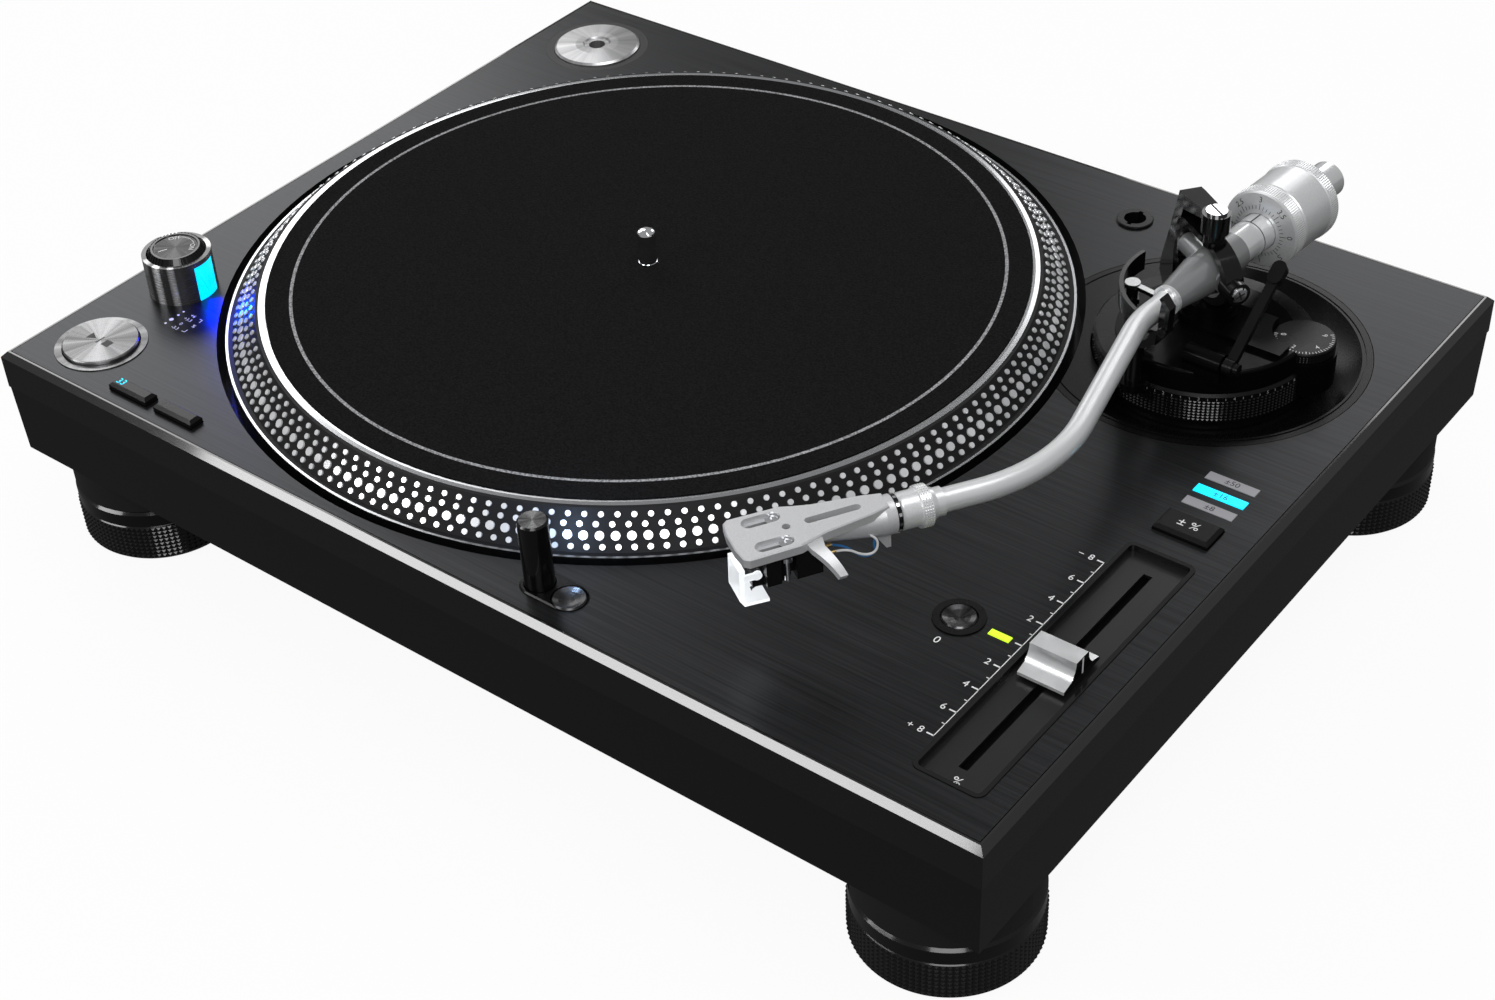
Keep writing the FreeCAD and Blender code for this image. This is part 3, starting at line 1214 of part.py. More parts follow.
def half_ring(half_w, half_h, left):
    """Outline in the gimbal's plane: an ellipse to the right, a squared bow to the left."""
    corner = min(6.0, half_h * 0.6)
    right = Part.Ellipse(Vector(0, 0, 0), half_w, half_h)
    right.transform(Placement(Vector(0, 0, 0), Rotation(Vector(1, 0, 0), 90)).toMatrix())
    arc = right.toShape(-math.pi / 2, math.pi / 2)
    ends = sorted(arc.Vertexes, key=lambda v: v.Z)
    low, high = ends[0].Point, ends[-1].Point
    top_left = Vector(-left + corner, 0, high.z)
    low_left = Vector(-left + corner, 0, low.z)
    bow = corner * (1 - math.sqrt(0.5))
    edges = [arc, Part.makeLine(high, top_left)]
    edges.append(Part.Arc(top_left, Vector(-left + bow, 0, high.z - bow),
                          Vector(-left, 0, high.z - corner)).toShape())
    edges.append(Part.makeLine(Vector(-left, 0, high.z - corner), Vector(-left, 0, low.z + corner)))
    edges.append(Part.Arc(Vector(-left, 0, low.z + corner), Vector(-left + bow, 0, low.z + bow),
                          low_left).toShape())
    edges.append(Part.makeLine(low_left, low))
    face = Part.Face(Part.Wire(Part.__sortEdges__(edges)))
    return face


def gimbal_ring():
    """Ring that turns on the upright axis and carries the arm's cross pins."""
    half = GIMBAL_T / 2
    outer = half_ring(RING_HALF_W, RING_HALF_H, RING_LEFT).extrude(Vector(0, GIMBAL_T, 0))
    inner = half_ring(RING_HALF_W - RING_WALL_W, RING_HALF_H - RING_WALL_H, RING_LEFT - RING_LEFT_WALL)
    inner = inner.extrude(Vector(0, GIMBAL_T + 2, 0))
    outer.translate(Vector(0, -half, 0))
    inner.translate(Vector(0, -half - 1, 0))
    neck_top = NECK_TOP_Z - PIVOT_Z
    neck_low = COLUMN_STEPS[-1][1] + BODY_GAP - PIVOT_Z
    neck = disc(NECK_R, neck_low, neck_top)
    boss = rod(Vector(RING_HALF_W - RING_WALL_W - 0.5, 0, 0), Vector(BOSS_REACH, 0, 0), BOSS_R)
    body = fused([outer.fuse(neck).cut(inner), boss])
    pins = rod(Vector(-RING_LEFT + 0.6, 0, 0), Vector(BOSS_REACH - 1.6, 0, 0), CROSS_PIN_R + PIN_GAP)
    body = body.cut(pins)
    for low, high in ((neck_low - 1, neck_low + LOWER_PIN_H), (neck_top - 2.0, neck_top + 1)):
        body = body.cut(disc(LOWER_PIN_R + PIN_GAP, low, high))
    return placed(body.removeSplitter(), GIMBAL_FRAME)


def bend(corner, turn, radius, r_out, r_in):
    """A tube's bend in plan round its corner; returns it with where it starts and ends on the runs."""
    direction, at = corner
    tangent = radius * math.tan(math.radians(abs(turn)) / 2)
    heading = Vector(math.cos(math.radians(direction)), math.sin(math.radians(direction)), 0)
    start = at - heading * tangent
    side = 1 if turn > 0 else -1
    normal = Vector(-heading.y, heading.x, 0) * side
    centre = start + normal * radius
    ring = Part.Face([Part.Wire(Part.makeCircle(r_out, start, heading)),
                      Part.Wire(Part.makeCircle(r_in, start, heading))])
    solid = ring.revolve(centre, UP * side, abs(turn))
    after = Vector(math.cos(math.radians(direction + turn)), math.sin(math.radians(direction + turn)), 0)
    return solid, start, at + after * tangent


def run(start, end, r_out, r_in):
    """A straight length of tube."""
    return rod(start, end, r_out).cut(rod(start, end, r_in))


def arm_tube():
    """Hub, rear shaft, S-shaped tube and the ferrule that takes the headshell."""
    first, start_a, end_a = bend((0.0, Vector(BEND_A_S, 0, 0)), BEND_A_TURN, BEND_A_R, TUBE_R, TUBE_BORE_R)
    second, start_b, end_b = bend((BEND_A_TURN, BEND_B), BEND_B_TURN, BEND_B_R, TUBE_R, TUBE_BORE_R)
    last = Vector(math.cos(math.radians(LAST_TURN)), math.sin(math.radians(LAST_TURN)), 0)
    root = Vector(HUB_PROFILE[-1][0] - 2, 0, 0)
    tube_end = BEND_B + last * (FERRULE_START + 2)
    runs = [run(root, start_a, TUBE_R, TUBE_BORE_R), run(end_a, start_b, TUBE_R, TUBE_BORE_R),
            run(end_b, tube_end, TUBE_R, TUBE_BORE_R)]
    ferrule = rod(BEND_B + last * FERRULE_START, BEND_B + last * FERRULE_END, FERRULE_R)
    socket = rod(BEND_B + last * (FERRULE_START + 2), BEND_B + last * (FERRULE_END + 1), FERRULE_BORE_R)
    hub = turned_along(HUB_PROFILE)
    shaft = rod(Vector(-SHAFT_END, 0, 0), Vector(HUB_PROFILE[0][0] + 1, 0, 0), SHAFT_R)
    shaft = shaft.cut(rod(Vector(-SHAFT_END - 1, 0, 0), Vector(-SHAFT_END + SHAFT_BORE_L, 0, 0),
                          SHAFT_BORE_R))
    body = fused([hub, shaft] + runs[:1] + [first, runs[1], second, runs[2]])
    body = body.fuse(ferrule.cut(rod(BEND_B + last * (FERRULE_START - 1), BEND_B + last * FERRULE_END,
                                     TUBE_BORE_R)))
    body = body.cut(socket)
    cross = fused([rod(Vector(-CROSS_BOSS_REACH, 0, 0), Vector(CROSS_BOSS_REACH, 0, 0), CROSS_BOSS_R),
                   rod(Vector(-RING_LEFT + RING_LEFT_WALL + BODY_GAP, 0, 0), Vector(0, 0, 0), SLEEVE_R),
                   rod(Vector(-RING_LEFT + 0.9, 0, 0), Vector(BOSS_REACH - 1.9, 0, 0), CROSS_PIN_R)])
    placed_body = placed(body, ARM_FRAME)
    return placed_body.fuse(placed(cross, GIMBAL_FRAME)).removeSplitter()


def weight_dial():
    """Numbered tracking-force dial on the front of the counterweight."""
    profile = [(-DIAL_KNURL_S, DIAL_R), (-DIAL_EDGE_S, DIAL_R), (-DIAL_EDGE_S + 0.4, DIAL_FACE_R + 0.8),
               (-DIAL_FACE_S, DIAL_HOLE_R + 1.2)]
    body = turned_along(profile)
    bore = rod(Vector(-DIAL_KNURL_S - 1, 0, 0), Vector(0, 0, 0), SHAFT_R + 0.2)
    return placed(body.cut(bore), ARM_FRAME)


def counterweight():
    """Counterweight on the rear shaft, with its knurled rear ring."""
    profile = [(-WEIGHT_REAR_S, WEIGHT_KNURL_R - WEIGHT_EDGE), (-WEIGHT_REAR_S + WEIGHT_EDGE, WEIGHT_KNURL_R),
               (-WEIGHT_GROOVE_S - 0.4, WEIGHT_KNURL_R), (-WEIGHT_GROOVE_S, WEIGHT_R),
               (-WEIGHT_FRONT_S - WEIGHT_EDGE, WEIGHT_R), (-WEIGHT_FRONT_S, WEIGHT_R - WEIGHT_EDGE)]
    body = turned_along(profile)
    bore = rod(Vector(-WEIGHT_REAR_S - 1, 0, 0), Vector(0, 0, 0), SHAFT_R + RUN_GAP)
    return placed(body.cut(bore), ARM_FRAME)


def locking_collar():
    """Knurled collar that draws the headshell in."""
    profile = [(COLLAR_NUT_START, COLLAR_NUT_R - 1.0), (COLLAR_NUT_START + 1, COLLAR_NUT_R - 0.6),
               (COLLAR_KNURL_START, COLLAR_NUT_R - 0.2), (COLLAR_KNURL_START, COLLAR_KNURL_R),
               (COLLAR_KNURL_END, COLLAR_KNURL_R), (COLLAR_KNURL_END, COLLAR_NUT_R),
               (COLLAR_NUT_END - 0.6, COLLAR_NUT_R), (COLLAR_NUT_END, COLLAR_NUT_R - 0.5)]
    body = turned_along(profile)
    bore = rod(Vector(COLLAR_NUT_START - 1, 0, 0), Vector(COLLAR_NUT_END + 1, 0, 0), FERRULE_R + RUN_GAP)
    return placed(body.cut(bore), HEAD_FRAME)


def slot_cutter(start, end, y, width, z0, z1):
    """A slot with round ends along the headshell."""
    half = width / 2
    middle = box(start + half, end - half, y - half, y + half, z0, z1)
    return fused([middle, disc(half, z0, z1, start + half, y), disc(half, z0, z1, end - half, y)])


def headshell():
    """Cast headshell: plate with sunk slots, tapering neck, plug, rear lug and finger lift."""
    low = SHELL_TOP_Z - SHELL_T
    right = list(SHELL_OUTLINE)
    outline = right + [(SHELL_FRONT, 4.0), (SHELL_FRONT, -4.0)] + [(s, -w) for s, w in reversed(right)]
    plate = bevelled(prism(outline, low, SHELL_TOP_Z), SHELL_TOP_Z, 0.4)
    lug_points = [(SHELL_LUG_REAR, 0), (SHELL_LUG_REAR, -SHELL_LUG_DROP),
                  (SHELL_LUG_REAR + 1.6, -SHELL_LUG_DROP),
                  (SHELL_LUG_FRONT, -8.0), (SHELL_LUG_FRONT + 3, -5.5), (SHELL_LUG_FRONT + 3, 0)]
    lug_wire = [Vector(s, -SHELL_LUG_W / 2, z) for s, z in lug_points]
    lug = Part.Face(Part.makePolygon(lug_wire + lug_wire[:1])).extrude(Vector(0, SHELL_LUG_W, 0))
    neck = rod(Vector(SHELL_WASHER_END, 0, 0), Vector(SHELL_NECK_END, 0, 0), SHELL_NECK_R)
    cone = Part.makeCone(SHELL_NECK_R, 3.4, SHELL_CONE_END - SHELL_NECK_END, Vector(SHELL_NECK_END, 0, 0),
                         Vector(1, 0, 0))
    above = box(SHELL_WASHER_END + 1, SHELL_CONE_END + 1, -10, 10, SHELL_TOP_Z, 20)
    stem = fused([neck, cone]).cut(placed(above, SHELL_TILT))
    washer = rod(Vector(SHELL_REAR, 0, 0), Vector(SHELL_WASHER_END, 0, 0), SHELL_WASHER_R)
    plug = rod(Vector(SHELL_REAR - SHELL_PLUG_L, 0, 0), Vector(SHELL_REAR + 1, 0, 0), SHELL_PLUG_R)
    shell = fused([placed(piece, SHELL_TILT) for piece in (plate, lug, finger_lift(low))])
    body = fused([shell, stem, washer, plug])
    cutters = [disc(MID_HOLE_R, low - 1, SHELL_TOP_Z + 1, MID_HOLE_AT, 0)]
    cutters.append(slot_cutter(LONG_SLOT_FROM, LONG_SLOT_TO, 0, LONG_SLOT_W, low - 4, SHELL_TOP_Z + 1))
    inset = (SCREW_SINK_W - SCREW_SLOT_W) / 2
    for side in (-1, 1):
        y = side * SCREW_SPACING / 2
        cutters.append(slot_cutter(SCREW_SLOT_FROM, SCREW_SLOT_TO, y, SCREW_SINK_W, SHELL_TOP_Z - SCREW_SINK,
                                   SHELL_TOP_Z + 1))
        cutters.append(slot_cutter(SCREW_SLOT_FROM + inset, SCREW_SLOT_TO - inset, y, SCREW_SLOT_W, low - 1,
                                   SHELL_TOP_Z))
    return placed(body.cut(placed(group(cutters), SHELL_TILT)).removeSplitter(), HEAD_FRAME)


def finger_lift(low):
    """Curved finger lift on the side of the headshell, thinner towards its tip."""
    root = 7.0
    mid_side = (root + FINGER_TIP_SIDE) / 2
    tip_low = low - FINGER_DROP
    outer = Part.Arc(Vector(0, root, low + FINGER_T + 0.6), Vector(0, mid_side, low + 0.4 + FINGER_T * 0.4),
                     Vector(0, FINGER_TIP_SIDE, tip_low + FINGER_T)).toShape()
    tip = Part.makeLine(Vector(0, FINGER_TIP_SIDE, tip_low + FINGER_T),
                        Vector(0, FINGER_TIP_SIDE - 0.8, tip_low))
    inner = Part.Arc(Vector(0, FINGER_TIP_SIDE - 0.8, tip_low), Vector(0, mid_side, low - 1.1),
                     Vector(0, root, low + 0.2)).toShape()
    back = Part.makeLine(Vector(0, root, low + 0.2), Vector(0, root, low + FINGER_T + 0.6))
    strip = Part.Face(Part.Wire([outer, tip, inner, back])).extrude(Vector(40, 0, 0))
    strip.translate(Vector(60, 0, 0))
    plan = [(LIFT_ROOT_FROM, root - 1), (LIFT_ROOT_TO, root - 1), (LIFT_ROOT_TO - 1.5, root + 5),
            (FINGER_TIP_AT + FINGER_TIP_W / 2, FINGER_TIP_SIDE + 1),
            (FINGER_TIP_AT - FINGER_TIP_W / 2, FINGER_TIP_SIDE + 1),
            (LIFT_ROOT_FROM + 1.0, root + 5)]
    return strip.common(prism(plan, tip_low - 2, low + 8))


def cartridge():
    """Cartridge under the headshell: body, stylus block, stylus and four lead pins."""
    top = SHELL_TOP_Z - SHELL_T
    low = top - CARTRIDGE_H
    body = box(CARTRIDGE_FROM, CARTRIDGE_TO, -CARTRIDGE_W / 2, CARTRIDGE_W / 2, low, top)
    nose_points = [(CARTRIDGE_TO - 8, NOSE_TOP), (CARTRIDGE_TO, NOSE_TOP), (NOSE_TO, NOSE_TOP - 2.4),
                   (NOSE_TO, NOSE_TOP - NOSE_H + 1), (CARTRIDGE_TO - 8, NOSE_TOP - NOSE_H)]
    wire = [Vector(s, -NOSE_W / 2, z) for s, z in nose_points]
    nose = Part.Face(Part.makePolygon(wire + wire[:1])).extrude(Vector(0, NOSE_W, 0))
    cantilever = rod(Vector(NOSE_TO - 9, 0, NOSE_TOP - NOSE_H + 1.2),
                     Vector(STYLUS_AT, 0, STYLUS_TIP_Z + 1.0), 0.5)
    tip = Part.makeCone(0.12, 0.5, 1.4, Vector(STYLUS_AT - 0.2, 0, STYLUS_TIP_Z), UP)
    pin_z = low + LEAD_PIN_RISE
    pins = [rod(Vector(CARTRIDGE_FROM - LEAD_PIN_L, y, pin_z), Vector(CARTRIDGE_FROM + 1, y, pin_z),
                LEAD_PIN_R)
            for y in PIN_ROWS]
    solid = fused([body, nose, cantilever, tip] + pins)
    for side in (-1, 1):
        y = side * SCREW_SPACING / 2
        near, far = sorted((y - side * NUT_POCKET / 2, y + side * CARTRIDGE_W))
        solid = solid.cut(box(SCREW_AT - NUT_POCKET / 2, SCREW_AT + NUT_POCKET / 2, near, far, low - 1,
                              top - EAR_T))
        solid = solid.cut(disc(CART_SCREW_R + FIT_GAP, low - 1, top + 1, SCREW_AT, y))
        stud_low = Vector(GUARD_PIVOT_AT, side * (NOSE_W / 2 - GUARD_STUD_L - FIT_GAP), GUARD_PIVOT_Z)
        solid = solid.cut(rod(stud_low, stud_low + Vector(0, side * NOSE_W, 0), GUARD_STUD_R + PIN_GAP))
    return placed(solid.removeSplitter(), SHELL_FRAME)


def cartridge_screws():
    """Two slotted screws that clamp the cartridge, with their nuts."""
    top = SHELL_TOP_Z - SHELL_T
    seat = SHELL_TOP_Z - SCREW_SINK
    head_top = seat + CART_SCREW_HEAD_T
    screws = []
    for side in (-1, 1):
        y = side * SCREW_SPACING / 2
        head = disc(CART_SCREW_HEAD_R, seat, head_top, SCREW_AT, y)
        slot = block(SCREW_AT, y, 0.6, 2 * CART_SCREW_HEAD_R + 1, head_top - 0.6, head_top + 1)
        shank = disc(CART_SCREW_R, top - CART_SCREW_L, seat + 0.5, SCREW_AT, y)
        nut = disc(NUT_R, top - EAR_T - NUT_T, top - EAR_T, SCREW_AT, y)
        screws.append(fused([head.cut(slot), shank, nut]))
    return placed(group(screws), SHELL_FRAME)


def stylus_guard():
    """Clear guard hinged on the stylus block: two arms, a front plate and a lip under the stylus."""
    half = GUARD_W / 2
    points = [(GUARD_BACK_AT, GUARD_TOP_Z), (GUARD_FRONT_AT, GUARD_TOP_Z),
              (GUARD_FRONT_AT + 0.4, GUARD_LOW_Z + 3.1),
              (GUARD_FRONT_AT - 1.2, GUARD_LOW_Z + 0.4), (GUARD_LIP_AT, GUARD_LOW_Z),
              (GUARD_LIP_AT, GUARD_LOW_Z + 1.1),
              (GUARD_BACK_AT, GUARD_LOW_Z + 1.6), (GUARD_BACK_AT + 1.0, GUARD_LOW_Z + 3.6)]
    wire = [Vector(s, -half, z) for s, z in points]
    shapes = [Part.Face(Part.makePolygon(wire + wire[:1])).extrude(Vector(0, GUARD_W, 0))]
    eye = Vector(GUARD_PIVOT_AT, 0, GUARD_PIVOT_Z)
    for side in (-1, 1):
        near, far = sorted((side * half, side * (half - GUARD_ARM_T)))
        shapes.append(box(GUARD_PIVOT_AT, GUARD_FRONT_AT - 1, near, far, GUARD_PIVOT_Z - 1.2,
                          GUARD_PIVOT_Z + 1.2))
        shapes.append(rod(eye + Vector(0, near, 0), eye + Vector(0, far, 0), GUARD_EYE_R))
        stud = side * (NOSE_W / 2 - GUARD_STUD_L)
        shapes.append(rod(eye + Vector(0, stud, 0), eye + Vector(0, side * (half - 0.2), 0), GUARD_STUD_R))
    return placed(fused(shapes), SHELL_FRAME)


def cue_lever():
    """Cue lever: axle, leaning stalk and a rounded paddle."""
    foot = Vector(LEVER_X, AXLE_Y, AXLE_Z)
    tip = foot + Vector(0, LEVER_REACH_Y, LEVER_REACH_Z)
    along = tip - foot
    length = along.Length
    angle = math.degrees(math.atan2(LEVER_REACH_Z, LEVER_REACH_Y))
    stalk = box(-LEVER_W / 2, LEVER_W / 2, 0, length - PADDLE_L / 2, -1.3, 1.3)
    paddle = rounded(0, length - PADDLE_L / 2, PADDLE_W, PADDLE_L, 2.6, -1.9, 1.9)
    eye = rod(Vector(-LEVER_W / 2, 0, 0), Vector(LEVER_W / 2, 0, 0), 3.0)
    lever = fused([stalk, paddle, eye])
    lever = placed(lever, Placement(foot, Rotation(Vector(1, 0, 0), angle)))
    axle = rod(Vector(AXLE_FROM + 2 + BODY_GAP, AXLE_Y, AXLE_Z), Vector(AXLE_TIP, AXLE_Y, AXLE_Z), AXLE_R)
    knob = rod(Vector(LEVER_X + LEVER_W / 2, AXLE_Y, AXLE_Z), Vector(AXLE_TIP, AXLE_Y, AXLE_Z), 2.2)
    return at_arm(fused([lever, axle, knob]))


def cue_lift():
    """Curved rail under the arm on its lift pin, with the short bar beside the hub."""
    rail = sector(RAIL_R + RAIL_T / 2, RAIL_R - RAIL_T / 2, RAIL_FROM, RAIL_TO, RAIL_TOP_Z - RAIL_H,
                  RAIL_TOP_Z)
    post = polar(LIFT_R, LIFT_AZIMUTH)
    sink = BASE_LOW_Z - LIFT_SINK
    pin = disc(LIFT_PIN_R, sink, LIFT_CAP_Z, post.x, post.y)
    cap = disc(LIFT_CAP_R, LIFT_CAP_Z - LIFT_CAP_H, LIFT_CAP_Z, post.x, post.y)
    bridge = sector(RAIL_R, LIFT_R - 2.5, LIFT_AZIMUTH - 6, LIFT_AZIMUTH + 6, LIFT_BRIDGE_Z,
                    LIFT_BRIDGE_Z + LIFT_BRIDGE_T)
    end = Vector(LIFT_BAR_END_X, LIFT_BAR_END_Y, 0)
    run_to = end - Vector(post.x, post.y, 0)
    bar = box(0, run_to.Length, -LIFT_BAR_W / 2, LIFT_BAR_W / 2, LIFT_CAP_Z - LIFT_CAP_H, LIFT_CAP_Z - 0.4)
    heading = math.degrees(math.atan2(run_to.y, run_to.x))
    bar = placed(bar, Placement(Vector(post.x, post.y, 0), Rotation(UP, heading)))
    return at_arm(fused([rail, pin, cap, bridge, bar]))


def anti_skate_dial():
    """Numbered anti-skate dial with its stem."""
    low = SKATE_TOP_Z - SKATE_H
    profile = [(0, low - SKATE_STEM_H), (SKATE_STEM_R, low - SKATE_STEM_H), (SKATE_STEM_R, low),
               (SKATE_R, low), (SKATE_R, SKATE_TOP_Z - 0.5), (SKATE_R - 0.5, SKATE_TOP_Z), (0, SKATE_TOP_Z)]
    return at_arm(turned(profile, SKATE_X, SKATE_Y))


def tube_side(s):
    """How far the tube's middle lies beside the arm's own axis, just past the start of its first bend."""
    start = BEND_A_S - BEND_A_R * math.tan(math.radians(BEND_A_TURN) / 2)
    return BEND_A_R - math.sqrt(BEND_A_R ** 2 - max(0.0, s - start) ** 2)


def rest_post_in_arm():
    """The rest's post seen from the pivot: along the arm's axis and to its side."""
    turn = math.radians(REST_AZIMUTH - (270 - ARM_TURN))
    return REST_S * math.cos(turn), REST_S * math.sin(turn)


def rest_frame():
    """The rest's own frame, from the deck: under the tube beside the post, level, along the arm in plan."""
    along, _ = rest_post_in_arm()
    plan = Placement(Vector(ARM_X, ARM_Y, DECK), Rotation(UP, -90 - ARM_TURN))
    return plan.multiply(Placement(Vector(along, tube_side(along), 0), Rotation()))


def arm_rest():
    """Arm rest: post on the base's eye, cradle, low lug, and a tall fin just behind the clamp."""
    along, side = rest_post_in_arm()
    post_y = side - tube_side(along)
    eye_low = BASE_LOW_Z
    eye_top = eye_low + REST_EYE_T
    foot = disc(REST_FOOT_R, REST_FOOT_Z, eye_low, 0, post_y)
    pin = disc(REST_PIN_R, REST_FOOT_Z + 0.5, eye_top + 0.5, 0, post_y)
    post = disc(REST_POST_R, eye_top, REST_POST_TOP_Z, 0, post_y)
    axis_z = PIVOT_Z + REST_S * math.sin(math.radians(ARM_PITCH))
    cradle_r = TUBE_R + CRADLE_GAP
    half = CRADLE_W / 2
    bowl = rod(Vector(-half, 0, axis_z), Vector(half, 0, axis_z), cradle_r + CRADLE_T)
    bowl = bowl.cut(rod(Vector(-half - 1, 0, axis_z), Vector(half + 1, 0, axis_z), cradle_r))
    bowl = bowl.common(box(-half, half, -LUG_REACH, FIN_TO, REST_POST_TOP_Z - 1, axis_z + 1))
    bowl = bowl.cut(box(-half - 1, half + 1, -20, 0, LUG_TOP_Z, axis_z + 5))
    neck = disc(REST_POST_R, REST_POST_TOP_Z - 1, axis_z - cradle_r - CRADLE_T / 2, 0, post_y)
    fin_front = -CLAMP_W / 2 - BODY_GAP
    fin_middle = (fin_front - FIN_BACK) / 2
    fin_points = [(-FIN_BACK, axis_z - 3), (-half, axis_z - 5), (half, axis_z - 5), (half, axis_z + 0.6),
                  (fin_front, axis_z + 0.6), (fin_front, axis_z + 3), (fin_middle + 1.2, FIN_TOP_Z),
                  (fin_middle - 1.2, FIN_TOP_Z), (-FIN_BACK, axis_z + 2)]
    wire = [Vector(x, FIN_FROM, z) for x, z in fin_points]
    fin = Part.Face(Part.makePolygon(wire + wire[:1])).extrude(Vector(0, FIN_TO - FIN_FROM, 0))
    hinge = Vector(0, CLAMP_PIVOT_SIDE, CLAMP_PIVOT_Z)
    reach = Vector(half, 0, 0)
    ear = rod(hinge - reach, hinge + reach, CLAMP_EYE_R)
    web = box(-half, half, FIN_TO - 0.5, CLAMP_PIVOT_SIDE, CLAMP_PIVOT_Z - 1.2, CLAMP_PIVOT_Z + 0.4)
    ears = fused([ear, web]).cut(box(-CLAMP_W / 2, CLAMP_W / 2, FIN_TO, 20, 0, 60))
    body = fused([bowl, fin, neck, ears])
    body = body.cut(rod(hinge - reach * 2, hinge + reach * 2, CLAMP_PIN_R + PIN_GAP))
    return placed(body.fuse(fused([foot, pin, post])).removeSplitter(), rest_frame())


def rest_clamp():
    """Clamp that folds over the tube; it stands open here."""
    side, z = CLAMP_PIVOT_SIDE, CLAMP_PIVOT_Z
    half = CLAMP_W / 2 - 0.15
    reach = CLAMP_PIVOT_SIDE - 0.4
    eye = rod(Vector(-half, side, z), Vector(half, side, z), CLAMP_EYE_R)
    pin_half = CRADLE_W / 2 - 0.2
    pin = rod(Vector(-pin_half, side, z), Vector(pin_half, side, z), CLAMP_PIN_R)
    outer = side + CLAMP_EYE_R
    stand = [(outer - CLAMP_T, z), (outer, z), (outer + 0.6, z + reach), (side - 1.4, z + reach + 4.2),
             (side - 2.2, z + reach + 3.0), (outer - 1.0, z + reach - 0.6)]
    wire = [Vector(-half, y, height) for y, height in stand]
    arm = Part.Face(Part.makePolygon(wire + wire[:1])).extrude(Vector(2 * half, 0, 0))
    return placed(fused([eye, pin, arm]), rest_frame())


def jack_panel():
    """Rear recess that holds the jacks, the ground post and the mains inlet."""
    back = CASE_D / 2 - CASE_SEAM - CASE_DRAFT
    front = back - RECESS_DEPTH
    x0, x1 = RECESS_X - RECESS_W / 2, RECESS_X + RECESS_W / 2
    tray = box(x0, x1, front, back, RECESS_LOW, RECESS_HIGH)
    wall = RECESS_WALL
    tray = tray.cut(box(x0 + wall, x1 - wall, front + wall, back + 1, RECESS_LOW + wall, RECESS_HIGH - wall))
    middle = (RECESS_LOW + RECESS_HIGH) / 2
    holes = [rod(Vector(x, front - 1, middle), Vector(x, front + wall + 1, middle), JACK_R + FIT_GAP)
             for x in JACK_XS]
    holes.append(rod(Vector(GROUND_X, front - 1, middle), Vector(GROUND_X, front + wall + 1, middle), 2.1))
    holes.append(box(INLET_X - INLET_W / 2 - FIT_GAP, INLET_X + INLET_W / 2 + FIT_GAP, front - 1,
                     front + wall + 1,
                     middle - INLET_H / 2 + 0.3, middle + INLET_H / 2 - 0.3))
    return tray.cut(group(holes))


def recess_floor():
    """Where the recess's floor lies and its middle height."""
    back = CASE_D / 2 - CASE_SEAM - CASE_DRAFT
    return back - RECESS_DEPTH + RECESS_WALL, (RECESS_LOW + RECESS_HIGH) / 2


def rca_jacks():
    """Left and right output jacks."""
    floor, middle = recess_floor()
    jacks = []
    for x in JACK_XS:
        barrel = rod(Vector(x, floor - 6, middle), Vector(x, floor + JACK_L, middle), JACK_R)
        shoulder = rod(Vector(x, floor, middle), Vector(x, floor + JACK_SHOULDER_T, middle), JACK_SHOULDER_R)
        bore = rod(Vector(x, floor + 1, middle), Vector(x, floor + JACK_L + 1, middle), JACK_PIN_R)
        jacks.append(barrel.fuse(shoulder).cut(bore).removeSplitter())
    return group(jacks)


def ground_post():
    """Ground screw with its knurled nut."""
    floor, middle = recess_floor()
    shank = rod(Vector(GROUND_X, floor - 6, middle), Vector(GROUND_X, floor + GROUND_L, middle), 2.0)
    nut = rod(Vector(GROUND_X, floor, middle), Vector(GROUND_X, floor + GROUND_L - 1.5, middle), GROUND_R)
    return shank.fuse(nut).removeSplitter()


def power_inlet():
    """Three-pin mains inlet."""
    floor, middle = recess_floor()
    low = floor - RECESS_WALL - INLET_DEPTH + 6
    w, h = INLET_W / 2, INLET_H / 2 - 0.4
    body = box(INLET_X - w, INLET_X + w, low, floor + 1.5, middle - h, middle + h)
    cavity = box(INLET_X - INLET_OPEN_W / 2, INLET_X + INLET_OPEN_W / 2, floor + 1.5 - 14, floor + 3,
                 middle - INLET_OPEN_H / 2, middle + INLET_OPEN_H / 2)
    body = body.cut(cavity)
    blades = [box(INLET_X + dx - BLADE_T / 2, INLET_X + dx + BLADE_T / 2, floor - 13, floor - 13 + BLADE_L,
                  middle + dz - BLADE_W / 2, middle + dz + BLADE_W / 2) for dx, dz in INLET_BLADES]
    return fused([body] + blades)


